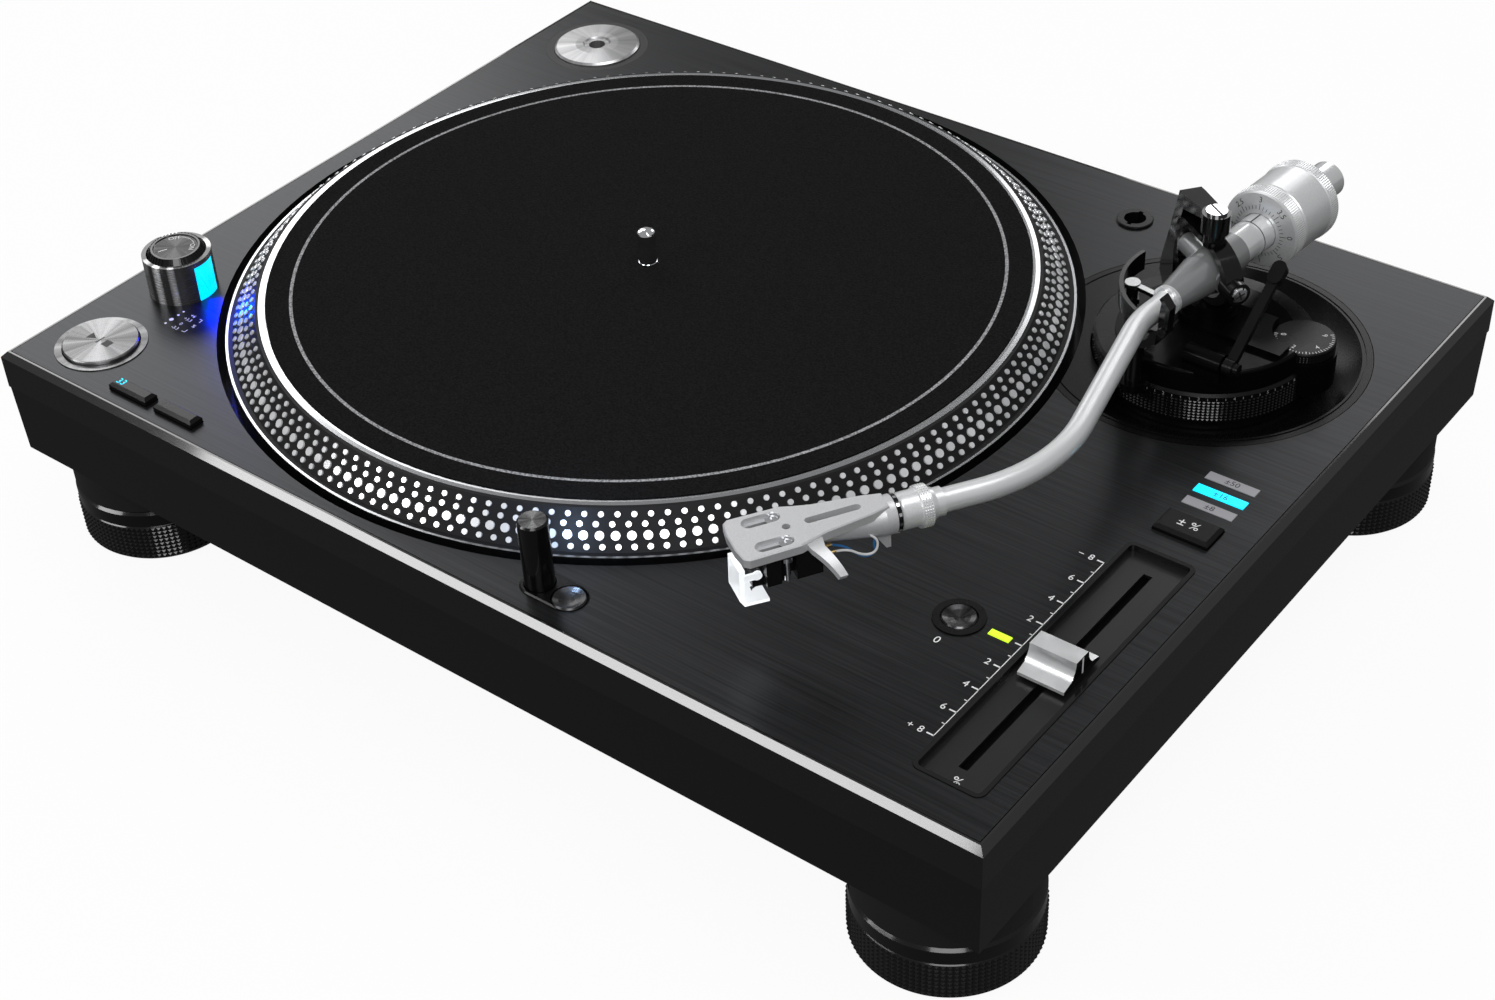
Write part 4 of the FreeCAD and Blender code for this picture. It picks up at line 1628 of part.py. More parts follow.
def build():
    """Every node's shape by name."""
    shapes = {
        "upper_chassis": upper_chassis(),
        "top_plate": top_plate(),
        "base_case": base_case(),
        "bottom_cover": bottom_cover(),
        "case_screws": case_screws(),
        "foot_collars": foot_collars(),
        "platter": platter(),
        "slipmat": slipmat(),
        "spindle": spindle(),
        "bearing_housing": bearing_housing(),
        "rotor_magnet": rotor_magnet(),
        "motor_stator": motor_stator(),
        "control_board": control_board(),
        "power_supply": power_supply(),
        "jack_panel": jack_panel(),
        "rca_jacks": rca_jacks(),
        "ground_post": ground_post(),
        "power_inlet": power_inlet(),
        "strobe_tower": strobe_tower(),
        "strobe_window": strobe_window(),
        "power_knob": power_knob(),
        "start_bezel": start_bezel(),
        "start_button": start_button(),
        "speed_key_33": speed_key(KEY_33_X),
        "speed_key_45": speed_key(KEY_45_X),
        "light_bezel": light_bezel(),
        "stylus_light": stylus_light(),
        "light_button": light_button(),
        "fader_tray": fader_tray(),
        "fader_knob": fader_knob(),
        "reset_ring": reset_ring(),
        "reset_button": reset_button(),
        "range_button": range_button(),
        "panel_lamps": panel_lamps(),
        "adapter_cup": adapter_cup(),
        "adapter_45": adapter_45(),
        "headshell_socket": headshell_socket(),
        "arm_well": arm_well(),
        "height_ring": height_ring(),
        "arm_base": arm_base(),
        "arm_yoke": arm_yoke(),
        "pivot_cap": pivot_cap(),
        "gimbal_ring": gimbal_ring(),
        "arm_tube": arm_tube(),
        "counterweight": counterweight(),
        "weight_dial": weight_dial(),
        "locking_collar": locking_collar(),
        "headshell": headshell(),
        "cartridge": cartridge(),
        "cartridge_screws": cartridge_screws(),
        "stylus_guard": stylus_guard(),
        "cue_lever": cue_lever(),
        "cue_lift": cue_lift(),
        "anti_skate_dial": anti_skate_dial(),
        "arm_rest": arm_rest(),
        "rest_clamp": rest_clamp(),
    }
    for name, (x, y) in FEET.items():
        shapes[name] = foot(x, y)
    return shapes


os.makedirs("parts", exist_ok=True)
for node, shape in build().items():
    solids = shape.Solids
    print(node, "solids", len(solids), "volume", round(shape.Volume, 1), "valid", shape.isValid())
    shape = solids[0] if len(solids) == 1 else Part.makeCompound(solids)
    shape.exportStep("parts/" + node + ".step")
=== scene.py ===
"""A direct-drive turntable: its finishes and fine forms, built round the fixed frame."""

import json
import logging
import math
from dataclasses import dataclass, field
from enum import Enum
from typing import Iterable, Optional, Sequence, Union

import bmesh
import bpy
from mathutils import Matrix, Vector


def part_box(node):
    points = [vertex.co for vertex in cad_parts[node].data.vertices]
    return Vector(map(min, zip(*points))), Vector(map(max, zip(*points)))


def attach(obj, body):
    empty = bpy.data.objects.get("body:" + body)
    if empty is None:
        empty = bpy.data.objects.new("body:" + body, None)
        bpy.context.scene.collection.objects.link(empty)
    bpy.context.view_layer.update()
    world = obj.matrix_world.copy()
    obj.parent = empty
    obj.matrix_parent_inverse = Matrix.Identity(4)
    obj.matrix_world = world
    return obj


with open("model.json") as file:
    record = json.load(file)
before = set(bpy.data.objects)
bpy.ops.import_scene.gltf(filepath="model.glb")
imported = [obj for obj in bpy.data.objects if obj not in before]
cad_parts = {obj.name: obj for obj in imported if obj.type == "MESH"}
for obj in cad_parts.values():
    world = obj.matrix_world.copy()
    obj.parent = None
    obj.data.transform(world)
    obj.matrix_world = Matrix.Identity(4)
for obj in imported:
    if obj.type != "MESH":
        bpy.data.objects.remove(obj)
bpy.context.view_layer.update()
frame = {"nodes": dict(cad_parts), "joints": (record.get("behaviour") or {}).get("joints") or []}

LOG = logging.getLogger("turntable")
MM = 0.001
PRINT_T = 0.05
WELD = 1e-5
SHARP_ANGLE = math.radians(32)
CAPITAL_SHARE = 0.72
COAT_ROUGHNESS = 0.06
FLECK_GAIN = 3.0
WHITE = (1.0, 1.0, 1.0)
BLACK = (0.0, 0.0, 0.0)

Triple = tuple[float, float, float]
Number = Union[float, "Shade"]


def joint_at(name: str) -> Vector:
    """A joint's place at rest, in millimetres."""
    joint = next(j for j in frame["joints"] if j["name"] == name)
    return Vector(joint["pos_m"]) / MM


def corner(node: str, end: int) -> Vector:
    """A node's low corner (0) or high corner (1), in millimetres."""
    return Vector(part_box(node)[end]) / MM


def plan(node: str) -> tuple[float, float]:
    """Where a round upright node's axis is, in millimetres."""
    at = (corner(node, 0) + corner(node, 1)) / 2
    return at.x, at.y


def move(x: float, y: float, z: float) -> Matrix:
    """A shift."""
    return Matrix.Translation((x, y, z))


def swing(degrees: float, axis: str = "Z") -> Matrix:
    """A turn about one axis."""
    return Matrix.Rotation(math.radians(degrees), 4, axis)


def upright(x: float, y: float, z: float, turn: float = 0.0) -> Matrix:
    """A level place, turned about its own upright axis by so many degrees."""
    return move(x, y, z) @ swing(turn)


def lying(place: Matrix, s: float = 0.0, back: bool = False) -> Matrix:
    """A frame so far along another's x axis, with its own z along that axis or back along it."""
    return place @ move(s, 0, 0) @ swing(-90 if back else 90, "Y")


DECK = corner("top_plate", 1).z
PLATTER_AT = tuple(joint_at("platter_spin")[:2])
PIVOT = joint_at("arm_pitch")
GIMBAL_TURN = -32.2
GIMBAL = upright(*PIVOT, GIMBAL_TURN)
ARM = upright(*PIVOT, -94.26) @ swing(-0.55, "Y")
HEAD = ARM @ upright(134.3, 28.69, 0, -28.0)
SHELL_AT = (112.85, 0, 5.3)
SHELL = HEAD @ move(*SHELL_AT) @ swing(1.43, "Y") @ move(*SHELL_AT).inverted()
OUTWARD = Matrix(((0, 0, 1, 0), (1, 0, 0, 0), (0, 1, 0, 0), (0, 0, 0, 1)))


def beside(node: str, x: float, y: float, z: float) -> Vector:
    """A point so many millimetres from a node's axis and above the deck, in metres."""
    return (Vector((*plan(node), DECK)) + Vector((x, y, z))) * MM


def scaled(colour: Triple, share: float) -> Triple:
    """A colour made darker or lighter by a share."""
    return tuple(share * part for part in colour)


def in_scene(name: str, data: bpy.types.ID) -> bpy.types.Object:
    """A new object in the scene."""
    made = bpy.data.objects.new(name, data)
    bpy.context.scene.collection.objects.link(made)
    return made


class Shade:
    """A node's output whose arithmetic adds Math nodes."""

    def __init__(self, bench: "Bench", socket: bpy.types.NodeSocket) -> None:
        """Keeps the bench that adds nodes and the socket that this value comes from."""
        self.bench = bench
        self.socket = socket

    def maths(self, operation: str, *values: Number) -> "Shade":
        """One Math node, with its inputs in order."""
        return self.bench.node("ShaderNodeMath", {"operation": operation}, dict(enumerate(values)))

    def __add__(self, other: Number) -> "Shade":
        """Sum."""
        return self.maths("ADD", self, other)

    __radd__ = __add__

    def __sub__(self, other: Number) -> "Shade":
        """Difference."""
        return self.maths("SUBTRACT", self, other)

    def __rsub__(self, other: Number) -> "Shade":
        """Difference, reflected."""
        return self.maths("SUBTRACT", other, self)

    def __mul__(self, other: Number) -> "Shade":
        """Product."""
        return self.maths("MULTIPLY", self, other)

    __rmul__ = __mul__

    def __truediv__(self, other: Number) -> "Shade":
        """Quotient."""
        return self.maths("DIVIDE", self, other)

    def __gt__(self, other: Number) -> "Shade":
        """One where this is larger, else nought."""
        return self.maths("GREATER_THAN", self, other)

    def __lt__(self, other: Number) -> "Shade":
        """One where this is smaller, else nought."""
        return self.maths("LESS_THAN", self, other)

    def between(self, low: float, high: float) -> "Shade":
        """One between the two limits, else nought."""
        return (self > low) * (self < high)

    def root(self) -> "Shade":
        """Square root."""
        return self.maths("SQRT", self)

    def above(self, low: float) -> "Shade":
        """This, or the lower limit where it is less."""
        return self.maths("MAXIMUM", self, low)


class Bench:
    """The node tree of one material, or of the world, while it is being made."""

    def __init__(self, owner: Union[bpy.types.Material, bpy.types.World]) -> None:
        """Starts the nodes and keeps the shader and the output."""
        owner.use_nodes = True
        self.owner = owner
        self.tree = owner.node_tree
        self.shader = next(n for n in self.tree.nodes if n.type in ("BSDF_PRINCIPLED", "BACKGROUND"))
        self.output = next(n for n in self.tree.nodes if n.type.startswith("OUTPUT_"))

    def link(self, socket: bpy.types.NodeSocket, value: object) -> None:
        """Links a shade to a socket, or sets the socket to a plain value."""
        if isinstance(value, Shade):
            self.tree.links.new(value.socket, socket)
        elif isinstance(value, tuple) and len(value) == 3 and socket.type == "RGBA":
            socket.default_value = (*value, 1.0)
        else:
            socket.default_value = value

    def feed(self, values: dict[str, object]) -> None:
        """Links or sets the shader's sockets by their names."""
        for name, value in values.items():
            self.link(self.shader.inputs[name], value)

    def node(self, kind: str, settings: Optional[dict] = None, inputs: Optional[dict] = None,
             output: Union[int, str] = 0) -> Shade:
        """Adds one node.

        Args:
            kind: the node's type name.
            settings: the node's own properties, set before its sockets.
            inputs: values or shades by the name or the index of their socket.
            output: the name or index of the output that is wanted.

        Returns:
            The wanted output.
        """
        made = self.tree.nodes.new(kind)
        for key, value in (settings or {}).items():
            setattr(made, key, value)
        for key, value in (inputs or {}).items():
            self.link(made.inputs[key], value)
        return Shade(self, made.outputs[output])

    def place(self) -> Shade:
        """The point's own place, in metres."""
        return self.node("ShaderNodeTexCoord", output="Object")

    def parts(self, vector: Shade) -> tuple[Shade, Shade, Shade]:
        """A vector's three numbers, from metres to millimetres."""
        outs = self.node("ShaderNodeSeparateXYZ", inputs={0: vector}).socket.node.outputs
        return tuple(Shade(self, out) / MM for out in outs)

    def mix(self, factor: Number, first: object, second: object) -> Shade:
        """Blends two colours: the first where the factor is nought."""
        return self.node("ShaderNodeMix", {"data_type": "RGBA"}, {0: factor, 6: first, 7: second}, 2)

    def blend(self, factor: Number, first: Shade, second: Shade) -> Shade:
        """Blends two shaders: the first where the factor is nought."""
        return self.node("ShaderNodeMixShader", inputs={0: factor, 1: first, 2: second})

    def ray(self, kind: str) -> Shade:
        """One for rays of a kind, else nought."""
        return self.node("ShaderNodeLightPath", output=f"Is {kind} Ray")

    def noise(self, vector: Shade, scale: float, detail: float) -> Shade:
        """A noise texture's value over a vector."""
        return self.node("ShaderNodeTexNoise", inputs={"Vector": vector, "Scale": scale, "Detail": detail})

    def grained(self, noise: "Noise") -> Shade:
        """A grain's noise over the surface."""
        place = self.node("ShaderNodeMapping", inputs={"Vector": self.place(), "Scale": noise.stretch})
        return self.noise(place, noise.scale, noise.detail)

    def offset(self, centre: Sequence[float] = (0.0, 0.0)) -> tuple[Shade, Shade]:
        """How far east and north of an upright axis the point is, in millimetres."""
        x, y, _ = self.parts(self.place())
        return x - centre[0], y - centre[1]

    def radius(self, centre: Sequence[float]) -> Shade:
        """Distance from an upright axis, in millimetres."""
        east, north = self.offset(centre)
        return (east * east + north * north).root()

    def height(self) -> Shade:
        """How far above the deck the point is, in millimetres."""
        return self.parts(self.place())[2] - DECK

    def within(self, turn: Matrix) -> tuple[Shade, Shade, Shade]:
        """The point's place in another frame, in millimetres."""
        inputs = {"Vector": self.place(), "Location": turn.translation * MM, "Rotation": turn.to_euler()}
        return self.parts(self.node("ShaderNodeMapping", {"vector_type": "TEXTURE"}, inputs))

    def bump(self, height: Shade, depth: float) -> None:
        """Feeds a height, of so many millimetres where it is one, to the shader's normal."""
        self.feed({"Normal": self.node("ShaderNodeBump", inputs={"Distance": depth * MM, "Height": height})})


@dataclass(frozen=True)
class Noise:
    """How a grain is drawn, and how far it lightens and darkens the colour."""

    scale: float
    detail: float
    fleck: float = 0.0
    stretch: Triple = (1.0, 1.0, 1.0)


class Grain(Enum):
    """The fine surface that a finish has; a smooth one has broad faint clouds."""

    SMOOTH = Noise(120.0, 3.0, 0.08)
    BRUSHED = Noise(1000.0, 6.0, 0.22, (0.012, 1.0, 1.0))
    TURNED = Noise(5.0, 3.0, 0.2)
    CAST = Noise(2600.0, 2.0, 0.06)
    FELT = Noise(1300.0, 4.0, 0.6)


@dataclass(frozen=True)
class Finish:
    """One surface finish, with the slot that a new piece of it has."""

    name: str
    colour: Triple
    roughness: float
    metallic: float = 0.0
    coat: float = 0.0
    grain: Grain = Grain.SMOOTH
    depth: float = 0.004
    centre: tuple[float, float] = (0.0, 0.0)
    clear: float = 0.0
    glow: float = 0.0
    shine: float = 0.5
    spread: float = 0.16
    slot: str = "soft_black"

    def bench(self) -> Bench:
        """Starts the material and sets what is the same all over."""
        bench = Bench(bpy.data.materials.new(self.name))
        bench.feed({"Base Color": self.colour, "Roughness": self.roughness, "Metallic": self.metallic,
                    "Coat Weight": self.coat, "Coat Roughness": COAT_ROUGHNESS,
                    "Specular IOR Level": self.shine, "Transmission Weight": self.clear})
        if self.glow:
            bench.feed({"Emission Color": self.colour, "Emission Strength": self.glow})
        return bench

    def pattern(self, bench: Bench) -> Shade:
        """The grain's noise over the surface, about a half."""
        noise = self.grain.value
        if self.grain is not Grain.TURNED:
            return bench.grained(noise)
        rings = bench.node("ShaderNodeCombineXYZ", inputs={0: bench.radius(self.centre)})
        return bench.noise(rings, noise.scale, noise.detail)

    def material(self) -> bpy.types.Material:
        """The finish's material, made once."""
        if self.name not in bpy.data.materials:
            self.dress(self.bench())
        return bpy.data.materials[self.name]

    def dress(self, bench: Bench) -> None:
        """Adds what changes over the surface."""
        grain = self.pattern(bench)
        bench.feed({"Roughness": self.rough(grain), "Base Color": self.flecked(bench, grain)})
        if self.grain is not Grain.SMOOTH:
            bench.bump(grain, self.depth)

    def rough(self, grain: Shade) -> Shade:
        """The roughness, varied by a grain."""
        return self.roughness + (grain - 0.5) * self.spread

    def flecked(self, bench: Bench, grain: Shade, colour: Optional[Triple] = None) -> Shade:
        """A colour that a grain lightens and darkens.

        Args:
            bench: the material's bench.
            grain: the grain's noise.
            colour: the colour, or the finish's own.

        Returns:
            The varied colour.
        """
        middle, spread = colour or self.colour, self.grain.value.fleck
        share = (grain - 0.5) * FLECK_GAIN + 0.5
        return bench.mix(share, scaled(middle, 1 - spread), scaled(middle, 1 + spread))


@dataclass(frozen=True)
class FannedFinish(Finish):
    """A face turned to fine rings, with painted highlights: bright wedges painted into its colour, and
    painted shade between them.
    """

    # The heading of the two broad painted highlights, in degrees, and the share of the colour left as painted
    # shade.
    sight: float = 130.0
    dull: float = 0.28
    broad: float = 0.8
    ray_scale: float = 3.6
    ray_floor: float = 0.42
    ray_gain: float = 2.2
    least: float = 0.01

    def dress(self, bench: Bench) -> None:
        """Adds the rings, and paints highlights into the colour: two broad wedges along one line and thin
        ones all round.
        """
        east, north = bench.offset(self.centre)
        far = (east * east + north * north).root() + self.least
        turn = math.radians(self.sight)
        along = (east * math.cos(turn) + north * math.sin(turn)) / far
        square = along * along
        rays = bench.node("ShaderNodeCombineXYZ", inputs={0: east / far, 1: north / far})
        thin = (bench.noise(rays, self.ray_scale, 3.0) - self.ray_floor) * self.ray_gain
        painted_highlight = square * square * square * self.broad + thin.above(0.0)
        rings = self.pattern(bench)
        # The colour is painted highlight in the wedges and painted shade, a darker share of the colour,
        # between them.
        bench.feed({"Base Color": bench.mix(painted_highlight, scaled(self.colour, self.dull), self.colour),
                    "Roughness": self.rough(rings)})
        bench.bump(rings, self.depth)


def fanned(name: str, colour: Triple, node: str, **sizes: float) -> FannedFinish:
    """A fanned finish centred on a round node, with other fields where they aren't the usual ones."""
    usual = {"roughness": 0.24, "metallic": 0.9, "depth": 0.02}
    return FannedFinish(name, colour, grain=Grain.TURNED, centre=plan(node), **{**usual, **sizes})


@dataclass(frozen=True)
class BandedFinish(Finish):
    """A turned upright side with painted reflections: bright bands painted into its colour where soft boxes
    would reflect, and a painted dark reflection between them.

    A band is its middle angle, its half width in degrees and its strength.
    """

    bands: tuple[Triple, ...] = ((-106.0, 12.0, 0.4), (-79.0, 9.0, 0.9), (-52.0, 7.0, 0.9),
                                 (62.0, 20.0, 0.6), (150.0, 18.0, 0.9))
    dull: float = 0.1
    lines: Noise = Noise(2600.0, 3.0, stretch=(0.1, 0.1, 1.0))
    spread: float = 0.2

    def dress(self, bench: Bench) -> None:
        """Paints each reflected band brighter about its middle angle, over a painted dark reflection."""
        east, north = bench.offset(self.centre)
        angle = north.maths("ARCTAN2", north, east) * (180 / math.pi)
        shine: Number = 0.0
        for middle_angle, half, strength in self.bands:
            away = (angle - middle_angle) / half
            shine = shine + (1 - away * away).above(0.0) * strength
        grain = bench.grained(self.lines)
        # Painted reflection: the dark colour between the bands and the bright bands are both painted into the
        # colour.
        dark = scaled(self.colour, self.dull)
        bench.feed({"Base Color": bench.mix(shine, dark, self.flecked(bench, grain)),
                    "Roughness": self.rough(grain)})


@dataclass(frozen=True)
class TrayFinish(Finish):
    """A gloss frame round a satin floor."""

    floor_z: float = -1.6
    floor_colour: Triple = (0.006, 0.006, 0.0063)
    floor_rough: float = 0.2
    cloud: Noise = Noise(1200.0, 3.0)
    spread: float = 0.1

    def dress(self, bench: Bench) -> None:
        """Dulls the floor."""
        low = bench.height() < self.floor_z
        grain = bench.grained(self.cloud)
        bench.feed({"Base Color": bench.mix(low, self.colour, self.floor_colour),
                    "Roughness": self.rough(grain) + low * self.floor_rough})


@dataclass(frozen=True)
class ChamferFinish(Finish):
    """Powder coat with a polished, lacquered chamfer along the top edge."""

    chamfer: float = 2.3
    polish: float = 0.12

    def dress(self, bench: Bench) -> None:
        """Adds the lacquer where the chamfer is."""
        super().dress(bench)
        polished = bench.height() > -self.chamfer
        smoother = polished * (self.roughness - self.polish)
        bench.feed({"Coat Weight": self.coat + polished * (1 - self.coat),
                    "Roughness": self.rough(self.pattern(bench)) - smoother})


@dataclass(frozen=True)
class RimFinish(Finish):
    """Polished aluminium with a black band between two radii."""

    band: tuple[float, float] = (151.6, 165.0)
    band_colour: Triple = (0.012, 0.012, 0.013)
    band_rough: float = 0.28
    spread: float = 0.12

    def dress(self, bench: Bench) -> None:
        """Darkens and dulls the band."""
        black = bench.radius(self.centre).between(*self.band)
        rings = self.pattern(bench)
        bench.feed({"Base Color": bench.mix(black, self.flecked(bench, rings), self.band_colour),
                    "Metallic": 1 - black,
                    "Roughness": self.rough(rings) + black * self.band_rough})


@dataclass(frozen=True)
class PrintedFelt(Finish):
    """Felt with one printed ring."""

    ring_r: float = 138.9
    ring_w: float = 1.3
    ring_colour: Triple = (0.28, 0.28, 0.29)

    def dress(self, bench: Bench) -> None:
        """Adds the nap and the ring."""
        nap = self.pattern(bench)
        half = self.ring_w / 2
        ring = bench.radius(self.centre).between(self.ring_r - half, self.ring_r + half)
        printed = self.flecked(bench, nap, self.ring_colour)
        bench.feed({"Base Color": bench.mix(ring, self.flecked(bench, nap), printed)})
        bench.bump(nap, self.depth)


@dataclass(frozen=True)
class LampFinish(Finish):
    """Panel lamps: unlit bars, one lit bar and the lit zero lamp."""

    zero_right: float = 190.0
    zero_colour: Triple = (0.5, 0.78, 0.02)
    bar: tuple[float, float] = (7.0, 13.5)
    bar_colour: Triple = (0.0, 0.72, 1.0)

    def dress(self, bench: Bench) -> None:
        """Lights the two lamps that are on."""
        x, y = bench.offset()
        zero, bar = x < self.zero_right, y.between(*self.bar)
        for socket, unlit in (("Base Color", self.colour), ("Emission Color", BLACK)):
            bench.feed({socket: bench.mix(zero, bench.mix(bar, unlit, self.bar_colour), self.zero_colour)})


@dataclass(frozen=True)
class ArmFinish(Finish):
    """The arm's metal: satin tube, smoother hub darkened in colour as a painted dark reflection, bright ring
    and bright rear shaft.
    """

    hub: tuple[float, float] = (-13.6, 27.3)
    ring: tuple[float, float] = (27.3, 29.2)
    hub_colour: Triple = (0.3, 0.305, 0.31)
    hub_polish: float = 0.1
    bright_polish: float = 0.22

    def dress(self, bench: Bench) -> None:
        """Changes the polish along the arm and darkens the hub's colour as a painted reflection."""
        s, _, _ = bench.within(ARM)
        hub = s.between(*self.hub)
        bright = s.between(*self.ring) + (s < self.hub[0])
        # The hub's darker colour is a painted dark reflection of its polished metal.
        bench.feed({"Roughness": self.roughness - hub * self.hub_polish - bright * self.bright_polish,
                    "Base Color": bench.mix(hub, self.colour, self.hub_colour)})
        bench.bump(self.pattern(bench), self.depth)


@dataclass(frozen=True)
class PartBare(Finish):
    """A finish with one part left in bare metal."""

    bare: Triple = (0.75, 0.75, 0.76)

    def mask(self, bench: Bench) -> Shade:
        """One on the bare part, else nought."""
        raise NotImplementedError

    def dress(self, bench: Bench) -> None:
        """Bares the part."""
        mask = self.mask(bench)
        bench.feed({"Base Color": bench.mix(mask, self.colour, self.bare), "Metallic": mask})


@dataclass(frozen=True)
class GimbalFinish(PartBare):
    """Gloss black with the bare sleeve on its left."""

    sleeve_r: float = 4.35
    sleeve: tuple[float, float] = (-19.5, -9.0)

    def mask(self, bench: Bench) -> Shade:
        """The sleeve."""
        s, y, z = bench.within(GIMBAL)
        return s.between(*self.sleeve) * ((y * y + z * z).root() < self.sleeve_r)


@dataclass(frozen=True)
class LiftFinish(PartBare):
    """Black rail with a bare cap and bar."""

    rail_r: float = 30.9
    cap_z: float = 26.5

    def mask(self, bench: Bench) -> Shade:
        """What lies inside the rail and above its top."""
        return (bench.radius(PIVOT) < self.rail_r) * (bench.height() > self.cap_z)


@dataclass(frozen=True)
class PickupFinish(PartBare):
    """Black pickup with gold pins."""

    pins_end: float = 85.2

    def mask(self, bench: Bench) -> Shade:
        """What is behind the body."""
        return bench.within(SHELL)[0] < self.pins_end


class Look:
    """Every finish of the turntable, by its place on it."""

    DECK = Finish("deck_plate", (0.034, 0.035, 0.037), 0.33, 0.9, grain=Grain.BRUSHED, depth=0.01)
    CASE = ChamferFinish("upper_case", (0.012, 0.012, 0.0125), 0.3, coat=0.05, grain=Grain.CAST,
                         depth=0.001, shine=0.2)
    LOWER_CASE = Finish("lower_black", (0.0085, 0.0085, 0.009), 0.36, coat=0.05, grain=Grain.CAST,
                        depth=0.001, shine=0.2)
    RUBBER = Finish("collar_rubber", (0.006, 0.006, 0.0065), 0.6, grain=Grain.CAST)
    FOOT = Finish("foot_gloss", (0.003, 0.003, 0.0033), 0.16, coat=0.3, shine=0.3)
    RIM = RimFinish("rim_aluminium", (0.55, 0.56, 0.575), 0.2, 1.0, grain=Grain.TURNED,
                    centre=PLATTER_AT, shine=0.12)
    DOT = Finish("dot_aluminium", (0.9, 0.91, 0.93), 0.24, 0.5, slot="platter_silver")
    MAT = PrintedFelt("mat_felt", (0.006, 0.006, 0.0064), 0.95, grain=Grain.FELT, depth=0.3,
                      centre=PLATTER_AT, shine=0.08)
    CHROME = Finish("bright_chrome", (0.86, 0.87, 0.89), 0.07, 1.0, slot="chrome")
    # The tower's steel carries painted reflection bands in its colour.
    STEEL = BandedFinish("turned_steel", (0.85, 0.85, 0.86), 0.26, 0.7, grain=Grain.TURNED,
                         centre=plan("strobe_tower"))
    SATIN = Finish("satin_aluminium", (0.8, 0.81, 0.82), 0.32, 0.5, grain=Grain.CAST, depth=0.0008)
    SHELL = Finish("painted_silver", (0.64, 0.645, 0.66), 0.36, 0.45, grain=Grain.CAST, depth=0.0008)
    TUBE = ArmFinish("arm_aluminium", (0.76, 0.77, 0.78), 0.34, 0.5, grain=Grain.CAST, depth=0.0008)
    # The turned faces below carry painted highlight wedges and painted shade in their colour.
    START = fanned("start_turned", (0.26, 0.26, 0.264), "start_button", roughness=0.28)
    ADAPTER = fanned("adapter_turned", (0.66, 0.66, 0.67), "adapter_45", roughness=0.3, depth=0.015,
                     dull=0.5)
    KNOB = fanned("knob_turned", (0.05, 0.05, 0.052), "power_knob", roughness=0.25, dull=0.15)
    RESET = fanned("reset_turned", (0.1, 0.1, 0.104), "reset_button", dull=0.15)
    PUSH = fanned("push_turned", (0.05, 0.05, 0.052), "light_button", metallic=0.7)
    COLUMN_CAP = fanned("column_turned", (0.2, 0.2, 0.204), "stylus_light", dull=0.2)
    FADER = Finish("fader_aluminium", (0.86, 0.87, 0.88), 0.24, 0.7)
    ARM_BLACK = Finish("gloss_black", (0.0025, 0.0025, 0.0028), 0.14, coat=0.25, shine=0.3)
    GIMBAL = GimbalFinish("gimbal_black", (0.0025, 0.0025, 0.0028), 0.12, coat=0.25, shine=0.3)
    LIFT = LiftFinish("lift_black", (0.003, 0.003, 0.0033), 0.22, coat=0.1, shine=0.3,
                      bare=(0.42, 0.425, 0.43))
    PICKUP = PickupFinish("pickup_black", (0.005, 0.005, 0.0055), 0.24, bare=(0.83, 0.6, 0.25))
    SATIN_BLACK = Finish("satin_black", (0.003, 0.003, 0.0033), 0.28, shine=0.2)
    BASE = Finish("base_black", (0.002, 0.002, 0.0022), 0.22, shine=0.08)
    WELL = Finish("well_black", (0.003, 0.003, 0.0033), 0.26, grain=Grain.CAST, depth=0.001, shine=0.14)
    KEY = Finish("key_black", (0.004, 0.004, 0.0044), 0.24, grain=Grain.CAST, depth=0.0008, shine=0.2)
    TRAY = TrayFinish("tray_black", (0.003, 0.003, 0.0033), 0.12, coat=0.3, shine=0.4)
    SOFT = Finish("moulded_black", (0.005, 0.005, 0.0055), 0.45, grain=Grain.CAST, depth=0.003)
    # The guard's glow is painted light: it is no lamp, and its emission stands in for its bright highlights.
    CLEAR = Finish("clear_plastic", (0.93, 0.95, 0.97), 0.1, clear=0.6, glow=0.3)
    WINDOW = Finish("strobe_lens", (0.0, 0.62, 1.0), 0.3, glow=1.15)
    LAMPS = LampFinish("lamp_bars", (0.3, 0.3, 0.32), 0.35, glow=0.85)
    PRINT = Finish("white_print", (0.75, 0.75, 0.76), 0.6, slot="satin_silver")
    DIM_PRINT = Finish("dim_print", (0.06, 0.06, 0.062), 0.6)
    INK = Finish("black_ink", (0.015, 0.015, 0.016), 0.5)
    GREY_PRINT = Finish("grey_print", (0.3, 0.3, 0.31), 0.6, slot="satin_silver")
    LENS = Finish("light_lens", (0.55, 0.7, 1.0), 0.3, glow=1.6, slot="lamp")
    KNURL = Finish("knurled_aluminium", (0.84, 0.85, 0.86), 0.24, 0.6, slot="satin_silver")
    LIT = Finish("lit_print", (0.0, 0.62, 0.95), 0.5, glow=1.0, slot="lamp")
    BRASS = Finish("gold_plate", (0.83, 0.62, 0.26), 0.2, 1.0)
    BOARD = Finish("solder_mask", (0.01, 0.09, 0.04), 0.35)
    PLAIN_STEEL = Finish("plain_steel", (0.45, 0.45, 0.46), 0.4, 1.0, slot="steel_plain")
    RED = Finish("red_plastic", (0.5, 0.01, 0.01), 0.35)
    WHITE = Finish("white_plastic", (0.7, 0.7, 0.7), 0.35)
    BLUE = Finish("blue_plastic", (0.03, 0.16, 0.4), 0.35)
    GREEN = Finish("green_plastic", (0.02, 0.16, 0.08), 0.35)


